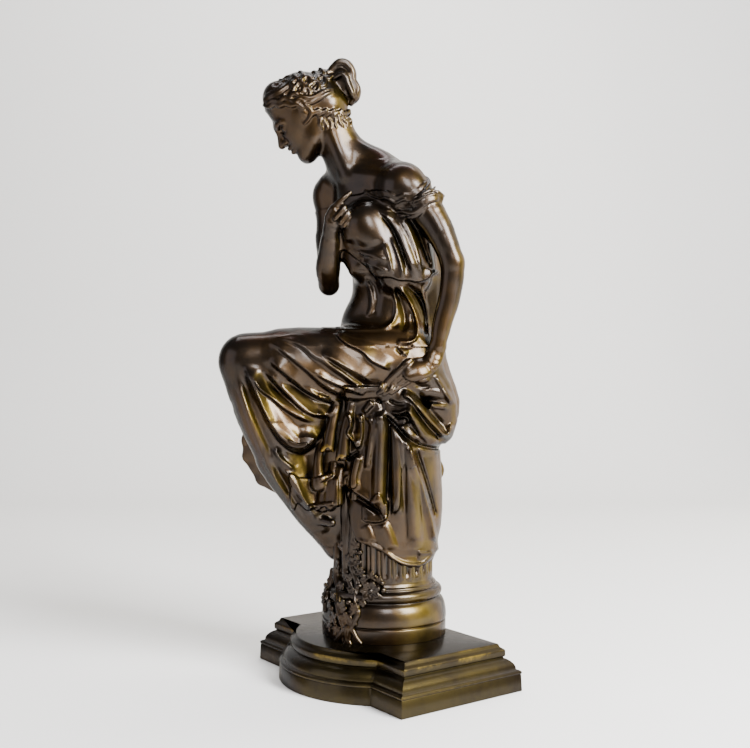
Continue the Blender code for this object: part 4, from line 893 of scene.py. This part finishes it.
def makeBronze(name, look):
    # cast bronze, chased, patinated dark brown and waxed: brown flats, edges rubbed to ochre, hollows painted
    # near-black as shade, and an olive reflection painted on the right and upper sides
    material = bpy.data.materials.new(name)
    material.use_nodes = True
    tree = material.node_tree
    position = tree.nodes.new("ShaderNodeTexCoord").outputs["Object"]

    def mask(name):
        return addNode(tree, "ShaderNodeAttribute", {"attribute_name": name}, {}).outputs["Fac"]

    def noise(size, detail, roughness):
        inputs = {"Vector": position, "Scale": 1000 / size, "Detail": detail, "Roughness": roughness}
        return addNode(tree, "ShaderNodeTexNoise", {}, inputs).outputs["Fac"]

    def scaled(value, factor, plus):
        return addNode(tree, "ShaderNodeMath", {"operation": "MULTIPLY_ADD"}, {0: value, 1: factor, 2: plus}).outputs[0]

    def over(share, under, upper):
        return addNode(tree, "ShaderNodeMix", {"data_type": "RGBA"}, {0: share, 6: under, 7: upper}).outputs[2]

    cloud, fleck, grain, dents = (noise(look[size], detail, roughness) for size, detail, roughness in (
        ("cloudSize", 4.0, 0.6), ("fleckSize", 6.0, 0.7), ("grainSize", 3.0, 0.6), ("dentSize", 2.0, 0.5)))
    # brown that varies softly from place to place
    colour = over(ramp(tree, cloud, 0.38, 0.66), linear(look["brown"]), linear(look["warmBrown"]))
    # painted olive reflection on the right and upper sides, in clouds
    colour = over(scaled(mask("paintedSideSheen"), ramp(tree, cloud, 0.30, 0.62, 0.15), 0.0), colour, linear(look["olive"]))
    # rubbed edges, broken by flecks
    worn = scaled(mask("edge"), ramp(tree, cloud, 0.36, 0.60, 0.55), scaled(fleck, 0.5, -0.27))
    colour = over(ramp(tree, worn, look["wornFrom"], look["wornTo"]), colour, linear(look["ochre"]))
    # painted shade: hollows darkened towards near-black, most where nearby surfaces close round them
    hollowShade = ramp(tree, scaled(mask("hollow"), 1.0, scaled(fleck, 0.3, -0.15)), look["hollowShadeFrom"], look["hollowShadeTo"])
    colour = over(hollowShade, colour, linear(look["dark"]))
    # wax gives broad soft lights; hollows and flecks are duller
    rough = scaled(hollowShade, look["hollowShadeRough"], scaled(fleck, look["roughSpread"], look["rough"]))
    # cast skin: fine grain and small dents
    skinHeight = scaled(dents, look["dentShare"], grain)
    bump = {"Height": skinHeight, "Strength": look["bump"], "Distance": look["bumpHeight"]}
    for name, value in (("Base Color", colour), ("Metallic", look["metallic"]), ("Roughness", rough),
                        ("Specular Tint", linear(look["glance"])), ("Coat Weight", look["coat"]),
                        ("Coat Roughness", look["coatRough"]),
                        ("Normal", addNode(tree, "ShaderNodeBump", {}, bump).outputs["Normal"])):
        feed(tree, tree.nodes["Principled BSDF"].inputs[name], value)
    return material


# the dark colour is the painted shade of the hollows, and the olive is a painted reflection on the right and upper
# sides
statueLook = {
    "brown": "#261D14", "warmBrown": "#37260F", "olive": "#766319", "ochre": "#8A6C28", "dark": "#1C1711",
    "glance": "#857242",
    "cloudSize": 60, "fleckSize": 3.2, "grainSize": 0.9, "dentSize": 7,      # mm
    "wornFrom": 0.55, "wornTo": 1.0, "hollowShadeFrom": 0.90, "hollowShadeTo": 1.0,
    "metallic": 1.0, "rough": 0.30, "roughSpread": 0.12, "hollowShadeRough": 0.10,
    "coat": 0.45, "coatRough": 0.22, "bump": 0.20, "bumpHeight": 0.0004, "dentShare": 2.2,
}
plinthLook = dict(statueLook, brown="#221B12", warmBrown="#2A2212", olive="#453B16", ochre="#7C6628",
                  coat=0.32, cloudSize=45)

waxedBronze = makeBronze("waxedBrownBronze", statueLook)
plinthBronze = makeBronze("waxedGreenishBronze", plinthLook)


def meshFrom(name, points, faces):
    mesh = bpy.data.meshes.new(name)
    mesh.vertices.add(len(points))
    mesh.vertices.foreach_set("co", points.astype(np.float32).ravel())
    mesh.loops.add(faces.size)
    mesh.loops.foreach_set("vertex_index", faces.astype(np.int32).ravel())
    mesh.polygons.add(len(faces))
    mesh.polygons.foreach_set("loop_start", np.arange(0, faces.size, faces.shape[1], dtype=np.int32))
    mesh.update(calc_edges=True)
    mesh.validate()
    return mesh


def largestShell(points, faces):
    # drops crumbs: keeps only the shell with the most faces
    label = np.arange(len(points))
    while True:
        low = label[faces].min(1)
        new = label.copy()
        np.minimum.at(new, faces.ravel(), np.repeat(low, faces.shape[1]))
        new = new[new]
        if (new == label).all():
            break
        label = new
    names, counts = np.unique(label[faces[:, 0]], return_counts=True)
    faces = faces[label[faces[:, 0]] == names[counts.argmax()]]
    used = np.unique(faces)
    back = np.zeros(len(points), int)
    back[used] = np.arange(len(used))
    return points[used], back[faces]


def objectOf(name, mesh, material):
    piece = bpy.data.objects.new(name, mesh)
    bpy.context.scene.collection.objects.link(piece)
    mesh.materials.append(material)
    return piece


def thinned(name, mesh, triangles):
    # fewer faces where the skin is smooth
    helper = bpy.data.objects.new(name + "Draft", mesh)
    bpy.context.scene.collection.objects.link(helper)
    count = sum(len(p.vertices) - 2 for p in mesh.polygons)
    if count > triangles:
        thin = helper.modifiers.new("Thin", "DECIMATE")
        thin.ratio = triangles / count
        thin.use_collapse_triangulate = True
    graph = bpy.context.evaluated_depsgraph_get()
    out = bpy.data.meshes.new_from_object(helper.evaluated_get(graph))
    bpy.data.objects.remove(helper)
    out.name = name
    return out


def readPoints(mesh):
    co = np.empty(len(mesh.vertices) * 3)
    mesh.vertices.foreach_get("co", co)
    return co.reshape(-1, 3)


def writeMask(mesh, name, values):
    layerData = mesh.attributes.new(name, "FLOAT", "POINT")
    layerData.data.foreach_set("value", np.clip(values, 0, 1).astype(np.float32))


def castPiece(name, clay, shell, triangles, rubbing=1.0):
    # the clay's skin as a piece of the statue, shaded by the clay's own slopes; its masks for the finish
    # paint shade into the hollows, mark the raised edges for wear, and paint an olive reflection on the right and upper
    # sides
    mesh = thinned(name, meshFrom(name + "Draft", *shell), triangles)
    p = readPoints(mesh)
    n = slope(clay, p)
    near, far, wide = (sample(clay, p + n * gap) / gap for gap in (3.0, 8.0, 20.0))
    # painted shade: the less open the surroundings of a point, the darker it is painted
    writeMask(mesh, "hollow", 1.15 - 0.55 * near - 0.6 * far + 0.8 * np.clip(0.40 - wide, 0, 1))
    thin1, thin2 = 1 + sample(clay, p - n * 2.0) / 2.0, 1 + sample(clay, p - n * 4.0) / 4.0
    writeMask(mesh, "edge", (0.55 * thin1 + 0.45 * thin2 - 0.20) * rubbing)
    # painted reflection: olive on surfaces that face right and up
    writeMask(mesh, "paintedSideSheen", n[:, 0] * 1.2 + n[:, 2] * 0.30 - 0.50)
    mesh.shade_smooth()
    mesh.normals_split_custom_set_from_vertices(n)
    mesh.transform(toWorld)
    return objectOf(name, mesh, waxedBronze)


clay = build()
print("clay shaped")
figure = castPiece("seatedWomanCasting", clay, largestShell(*skin(clay)), 198000)
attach(figure, "root")
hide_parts("seated_woman_and_column")
print("figure done", len(figure.data.polygons))

ivy = {
    "step": 0.75,      # mm
    # (height, radius) of what it climbs
    "wall": [(45, 62), (60, 62), (70, 61.6), (80, 59.4), (86, 56), (90, 52.5), (98, 50), (104, 49), (300, 49)],
    # drawn points and radii from the cloth down to the root
    "stems": [
        ([(-29, 182), (-30, 162), (-29, 144), (-31, 124), (-31, 108), (-26, 92), (-28, 76), (-26, 60), (-33, 44),
            (-37, 31)], [4.6, 4.6, 3.6, 2.8, 3.4]),
        ([(-37, 182), (-38, 160), (-37, 138), (-37, 118), (-37, 104), (-33, 90), (-30, 78)], [5.2, 5.0, 4.2, 2.2]),
        ([(-46, 180), (-46, 158), (-46, 138), (-45, 118), (-46, 100), (-44, 84), (-45, 70), (-42, 54), (-38, 40)],
            [5.0, 4.8, 4.0, 2.6]),
        ([(-33, 170), (-34, 150), (-31, 130), (-26, 120)], [2.4, 2.2, 1.6]),
        ([(-27, 78), (-20, 80), (-13, 84)], [2.2, 1.8]),
        ([(-30, 62), (-34, 58), (-41, 60)], [2.2, 1.8]),
        ([(-36, 46), (-43, 38), (-49, 31)], [4.0, 3.2, 2.4]),
        ([(-35, 46), (-36, 36), (-34, 30)], [4.6, 4.0, 3.6]),
        ([(-31, 44), (-27, 36), (-23, 31)], [2.6, 1.8]),
        ([(-51, 104), (-52, 94), (-55, 84), (-57, 74), (-58, 64)], [2.6, 3.4, 4.0, 3.8, 2.6]),
    ],
    # (across, up, size, turn in degrees, lift) of each leaf
    "leaves": [(-41, 66, 11, 20, 1.5), (-50, 58, 11, 140, 1), (-36, 56, 10, -80, 1.5), (-46, 46, 10, 200, 1),
        (-54, 70, 9, 90, 1), (-30, 50, 9, -30, 1), (-50, 76, 9, 40, 1), (-54, 50, 9, 160, 0.5), (-40, 40, 9, 180, 0.5),
        (-12, 97, 8, 10, 3), (-20, 93, 8, 60, 2), (-5, 94, 7, -40, 2), (-33, 116, 8, 80, 4), (-44, 112, 9, 130, 3),
        (-26, 128, 8, -20, 3), (-40, 128, 8, 30, 4), (-48, 98, 9, 150, 3), (-40, 90, 9, 200, 3), (-31, 97, 7, -60, 3),
        (-20, 72, 7, -120, 2), (-4, 76, 7, -70, 2), (-28, 66, 8, -40, 2)],
    # (across, up, radius, petals) of each flower
    "flowers": [(-12, 84, 11, 7), (-26, 113, 8, 5), (-22, 103, 6, 5), (-54, 86, 7, 5), (-30, 82, 6, 5),
        (-57, 74, 6, 5)],
    "buds": [(-23, 122, 3.0), (-30, 121, 2.6), (-28, 104, 2.6), (-1, 84, 3.4), (-2, 91, 2.8), (-24, 88, 3.0),
        (-19, 98, 2.4), (-53, 94, 2.6), (-58, 80, 2.6), (-50, 66, 3.0), (-34, 72, 3.0), (-3, 77, 2.6), (-45, 60, 2.6),
        (-38, 50, 2.4)],
}


wallRadius = curveOf(ivy["wall"])


def onWall(across, up, lift):
    # where a drawn point meets the column, moved outwards by lift; also the outward way there
    y = -50.0
    for _ in range(12):
        p = spot(across, up, y)
        r = wallRadius(p[2])
        y = -math.sqrt(max(r * r - min(p[0] ** 2, (r - 1.5) ** 2), 1.0))
    way = np.array((p[0], p[1], 0.0)) / math.hypot(p[0], p[1])
    return p + way * lift, way


def ivyLeaf(clay, across, up, size, turnBy, lift):
    # three to five lobes round a stalk, bent outwards, with raised ribs
    p, way = onWall(across, up, lift)
    side = np.cross((0, 0, 1), way)
    a = math.radians(turnBy)
    tip = side * math.sin(a) + np.array((0, 0, math.cos(a)))
    for angle, reach in ((0, 1.0), (58, 0.78), (-58, 0.78), (118, 0.55), (-118, 0.55)):
        b = math.radians(angle)
        out = tip * math.cos(b) + np.cross(way, tip) * math.sin(b) + way * 0.18
        ball(clay, p + out * size * 0.42 * reach, (size * 0.52 * reach, size * 0.27, 1.1), 0.9, turnMatrix(out, way))
        roll(clay, [p + way * 0.9, p + out * size * 0.8 * reach + way * 0.7], [0.7, 0.35], 0.5, every=1e9)


def ivyFlower(clay, across, up, radius, petals):
    p, way = onWall(across, up, radius * 0.45)
    side = np.cross((0, 0, 1), way)
    for k in range(petals):
        b = math.tau * k / petals + 0.3
        out = side * math.sin(b) + np.array((0, 0, math.cos(b))) + way * 0.35
        ball(clay, p + out * radius * 0.5, (radius * 0.46, radius * 0.34, 1.5), 0.5, turnMatrix(out, way))
        vein = [p + out * radius * 0.3 + way * 1.2, p + out * radius * 0.85 + way * 1.5]
        roll(clay, vein, [0.5, 0.3], 0.4, cut=True, every=1e9)
    ball(clay, p + way * 1.2, (radius * 0.24,) * 3, 0.4)


def climbingIvy():
    clay = newClay((-84, -84, 36), (12, 4, 192), ivy["step"])
    for drawn, radii in ivy["stems"]:
        line = [onWall(a, u, 0.8)[0] for a, u in drawn]
        keys = spread(radii, len(line))
        roll(clay, line, keys, 1.0, every=2.0)
        # bark: two thin grooves along each stout stem
        if radii[0] > 3:
            for shift in (-1.1, 1.3):
                groove = [onWall(a + shift, u, 0.8 + r * 0.93)[0] for (a, u), r in zip(drawn, keys)]
                roll(clay, groove, [0.55] * len(groove), 0.4, cut=True, every=2.0)
    for leaf in ivy["leaves"]:
        ivyLeaf(clay, *leaf)
    for flower in ivy["flowers"]:
        ivyFlower(clay, *flower)
    for across, up, radius in ivy["buds"]:
        ball(clay, onWall(across, up, radius * 0.7)[0], (radius,) * 3, 0.5)
    return clay


ivyClay = climbingIvy()
climbingPlant = castPiece("climbingIvy", ivyClay, skin(ivyClay), 90000, 0.5)
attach(climbingPlant, "root")
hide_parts("seated_woman_and_column")
print("ivy done", len(climbingPlant.data.polygons))


def bands(ringCount, size):
    # the four-sided faces between each closed ring of points and the next
    j = np.arange(size)
    k = (j + 1) % size
    return np.concatenate([np.stack([i * size + j, i * size + k, (i + 1) * size + k, (i + 1) * size + j], 1)
                           for i in range(ringCount - 1)])


def lines(heights, rows):
    # soft level lines, each with its strength, height and half width
    return sum(strength * np.exp(-((heights - at) / wide) ** 2) for strength, at, wide in rows)


column = {
    "shaftRadius": 0.049, "flutes": 28, "fluteDepth": 0.0018, "fluteFoot": 0.1004, "top": 0.2700,
    "ringSteps": 16, "levels": 60,
    # (radius, height) of the turned foot, from the ground side up
    "foot": [(0.062, 0.0449), (0.0622, 0.0574), (0.0612, 0.0584), (0.0610, 0.0592), (0.0624, 0.0600), (0.0626, 0.0622),
        (0.0625, 0.0650), (0.0621, 0.0690), (0.0611, 0.0740), (0.0592, 0.0785), (0.0566, 0.0811), (0.0558, 0.0820),
        (0.0566, 0.0829), (0.0578, 0.0850), (0.0582, 0.0875), (0.0574, 0.0900), (0.0555, 0.0918), (0.0528, 0.0928),
        (0.0520, 0.0934), (0.0524, 0.0944), (0.0520, 0.0956), (0.0506, 0.0964), (0.0499, 0.0976), (0.0492, 0.0990),
        (0.0490, 0.1000)],
}


def makeColumn(spec):
    count = spec["flutes"] * spec["ringSteps"]
    angles = np.arange(count) * math.tau / count
    phase = (angles * spec["flutes"] / math.tau) % 1.0
    scoop = np.sqrt(np.clip(1 - ((phase - 0.57) / 0.40) ** 2, 0, 1))
    profile, _ = smoothPath([np.array((r, 0, z)) for r, z in spec["foot"]], [0] * len(spec["foot"]), 0.0012)
    levels = [(r, z) for r, _, z in profile]
    for k in range(spec["levels"]):
        z = spec["fluteFoot"] + (spec["top"] - spec["fluteFoot"]) * (k / (spec["levels"] - 1)) ** 1.3
        share = np.clip((z - spec["fluteFoot"] - 0.0015 - 0.004 * (1 - scoop)) / 0.003, 0, 1)
        levels.append((spec["shaftRadius"] - spec["fluteDepth"] * scoop * share, z))
    rows = [np.stack([r * np.cos(angles), r * np.sin(angles), np.full(count, z)], 1) for r, z in levels]
    return np.concatenate(rows), bands(len(rows), count)


columnPoints, columnFaces = makeColumn(column)
columnMesh = meshFrom("flutedColumn", columnPoints, columnFaces)
r = np.hypot(columnPoints[:, 0], columnPoints[:, 1])
z = columnPoints[:, 2]
fluted = z > column["fluteFoot"]
inFlute = np.clip((column["shaftRadius"] - r) / column["fluteDepth"], 0, 1) * fluted
# painted shade in the flutes and along the grooves of the turned foot
writeMask(columnMesh, "hollow", 0.35 + 0.75 * inFlute + lines(z, (
    (0.6, 0.0588, 0.0012), (0.7, 0.0820, 0.0013), (0.6, 0.0932, 0.0011), (0.5, 0.0980, 0.0013))))
writeMask(columnMesh, "edge", 0.2 + 0.3 * (1 - inFlute) * fluted + lines(z, (
    (0.5, 0.0946, 0.0010), (0.4, 0.0611, 0.0012))))
rightWay = np.array((math.cos(drawingTurn), math.sin(drawingTurn)))
# painted reflection: olive on the side of the column that faces right in the drawing frame
writeMask(columnMesh, "paintedSideSheen", columnPoints[:, :2] / r[:, None] @ rightWay * 0.9 - 0.1)
columnMesh.shade_smooth()
flutedColumn = objectOf("flutedColumn", columnMesh, waxedBronze)
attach(flutedColumn, "root")
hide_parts("seated_woman_and_column")
print("column done", len(columnMesh.polygons))

plinth = {
    "length": 0.2482, "depth": 0.1449, "bowRadius": 0.1055,
    # (inset, height) from the ground up
    "moulding": [(0.0006, 0.0000), (0.0000, 0.0006), (0.0006, 0.0156), (0.0010, 0.0162), (0.0003, 0.0168),
        (0.0000, 0.0178), (0.0004, 0.0190), (0.0016, 0.0200), (0.0034, 0.0205), (0.0040, 0.0210), (0.0042, 0.0226),
        (0.0048, 0.0246), (0.0060, 0.0266), (0.0078, 0.0285), (0.0100, 0.0301), (0.0124, 0.0313), (0.0128, 0.0320),
        (0.0118, 0.0326), (0.0113, 0.0334), (0.0112, 0.0380), (0.0115, 0.0388), (0.0124, 0.0398), (0.0140, 0.0408),
        (0.0152, 0.0420), (0.0157, 0.0436), (0.0163, 0.0444), (0.0170, 0.0446)],
}


def plinthRing(spec, inset):
    # one level of the moulding, evenly pointed: a rectangle with a bow in its front
    halfX, halfY, r = spec["length"] / 2 - inset, spec["depth"] / 2 - inset, spec["bowRadius"] - inset
    half = math.asin(math.sqrt(r * r - halfY * halfY) / r)
    reach = r * math.sin(half)
    sides = [((reach, -halfY), (halfX, -halfY), 16), ((halfX, -halfY), (halfX, halfY), 44),
        ((halfX, halfY), (-halfX, halfY), 76), ((-halfX, halfY), (-halfX, -halfY), 44),
        ((-halfX, -halfY), (-reach, -halfY), 16)]
    ring = []
    for a, b, n in sides:
        for k in range(n):
            t = 0.5 - 0.5 * math.cos(math.pi * k / n)
            t = 0.5 * t + 0.5 * k / n
            ring.append((a[0] + (b[0] - a[0]) * t, a[1] + (b[1] - a[1]) * t))
    for k in range(64):
        a = -half + 2 * half * k / 64
        ring.append((r * math.sin(a), -r * math.cos(a)))
    return ring


rings = [[(x, y, z) for x, y in plinthRing(plinth, inset)] for inset, z in plinth["moulding"]]
ringSize = len(rings[0])
plinthMesh = meshFrom("mouldedPlinth", np.concatenate(rings), bands(len(rings), ringSize))
work = bmesh.new()
work.from_mesh(plinthMesh)
work.verts.ensure_lookup_table()
work.faces.new([work.verts[k] for k in reversed(range(ringSize))])
top = work.faces.new([work.verts[(len(rings) - 1) * ringSize + k] for k in range(ringSize)])
bmesh.ops.triangulate(work, faces=[top])
bmesh.ops.recalc_face_normals(work, faces=work.faces)
work.to_mesh(plinthMesh)
work.free()
z = readPoints(plinthMesh)[:, 2]
# painted shade along the moulding's grooves, over an even share
writeMask(plinthMesh, "hollow", 0.3 + lines(z, ((0.5, 0.0160, 0.0008), (0.6, 0.0212, 0.0010), (0.6, 0.0316, 0.0012))))
writeMask(plinthMesh, "edge", 0.25 + lines(z, (
    (0.5, 0.0176, 0.0008), (0.7, 0.0384, 0.0008), (0.6, 0.0440, 0.0007), (0.4, 0.0330, 0.0007), (0.4, 0, 0.001))))
# an even share of the painted olive reflection all over the plinth
writeMask(plinthMesh, "paintedSideSheen", np.full(len(z), 0.35))
plinthMesh.shade_smooth()
plinthMesh.set_sharp_from_angle(angle=math.radians(42))
mouldedPlinth = objectOf("mouldedPlinth", plinthMesh, plinthBronze)
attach(mouldedPlinth, "root")
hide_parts("plinth")
print("plinth done", len(plinthMesh.polygons))

# floor, light and camera, in metres
studio = {"paper": "#DEDCD8", "paperRough": 0.85, "sky": "#E6E6E4", "skyStrength": 0.24,
          "bend": 0.5, "bendSteps": 12, "side": 4.0, "front": -4.0, "back": 1.9, "top": 3.4}


def fromDrawing(x, y, z):
    return Matrix.Rotation(drawingTurn, 3, "Z") @ Vector((x, y, z))


# (away, up) of the paper sweep, which lies flat, bends up behind the statue and stands
foldLine = studio["back"] - studio["bend"]
sweepRows = [(studio["front"], 0.0), (foldLine, 0.0)]
for k in range(studio["bendSteps"]):
    swing = math.pi / 2 / studio["bendSteps"] * (k + 1)
    sweepRows.append((foldLine + studio["bend"] * math.sin(swing), studio["bend"] * (1 - math.cos(swing))))
sweepRows.append((studio["back"], studio["top"]))
sweepPoints = [tuple(fromDrawing(x, y, z)) for y, z in sweepRows for x in (-studio["side"], studio["side"])]
floorMesh = bpy.data.meshes.new("paperSweep")
floorMesh.from_pydata(sweepPoints, [], [(2 * k, 2 * k + 1, 2 * k + 3, 2 * k + 2) for k in range(len(sweepRows) - 1)])
floorMesh.shade_smooth()
floorMaterial = bpy.data.materials.new("paleBackdropPaper")
floorMaterial.use_nodes = True
paperShader = floorMaterial.node_tree.nodes["Principled BSDF"]
paperShader.inputs["Base Color"].default_value = linear(studio["paper"])
paperShader.inputs["Roughness"].default_value = studio["paperRough"]
floor = objectOf("floor", floorMesh, floorMaterial)

world = bpy.data.worlds.new("studio")
bpy.context.scene.world = world
world.use_nodes = True
world.node_tree.nodes["Background"].inputs["Color"].default_value = linear(studio["sky"])
world.node_tree.nodes["Background"].inputs["Strength"].default_value = studio["skyStrength"]

# name, place and aim in the drawing frame, width and height, watts, colour
for name, where, target, size, power, colour in (
        ("windowRight", (1.14, -1.02, 1.10), (0, 0, 0.32), (0.7, 1.0), 150, "#FAFBFF"),
        ("windowFront", (0.20, -1.9, 1.5), (0, 0, 0.40), (0.6, 0.9), 45, "#FAFBFF"),
        ("dimLeft", (-1.6, -0.7, 0.7), (0, 0, 0.32), (1.4, 1.4), 10, "#E9E6F2"),
        ("wallRight", (1.4, 0.65, 0.7), (0, 0, 0.36), (1.6, 1.8), 24, "#FFFBF0"),
        ("skyBack", (0.5, 1.0, 2.0), (0, 0, 0.40), (1.6, 1.2), 16, "#FFFDF6"),
        ("paperWash", (0.0, 0.7, 2.5), (0, 1.9, 0.7), (2.4, 0.5), 50, "#FFFFFF")):
    lamp = bpy.data.lights.new(name, "AREA")
    lamp.shape = "RECTANGLE"
    lamp.size, lamp.size_y = size
    lamp.energy = power
    lamp.color = linear(colour)[:3]
    holder = bpy.data.objects.new(name, lamp)
    bpy.context.scene.collection.objects.link(holder)
    holder.location = fromDrawing(*where)
    holder.rotation_euler = (fromDrawing(*target) - holder.location).to_track_quat("-Z", "Y").to_euler()

# the lens and the sensor in millimetres
camera = {"distance": 1.067, "height": 0.303, "offset": -0.009, "nearest": 0.01, "focal": 50.7, "sensor": 36}
lens = bpy.data.cameras.new("camera")
lens.lens = camera["focal"]
lens.sensor_width = camera["sensor"]
lens.clip_start = camera["nearest"]
cameraObject = bpy.data.objects.new("camera", lens)
bpy.context.scene.collection.objects.link(cameraObject)
cameraObject.location = fromDrawing(camera["offset"], -camera["distance"], camera["height"])
cameraObject.rotation_euler = (math.pi / 2, 0, drawingTurn)
bpy.context.scene.camera = cameraObject
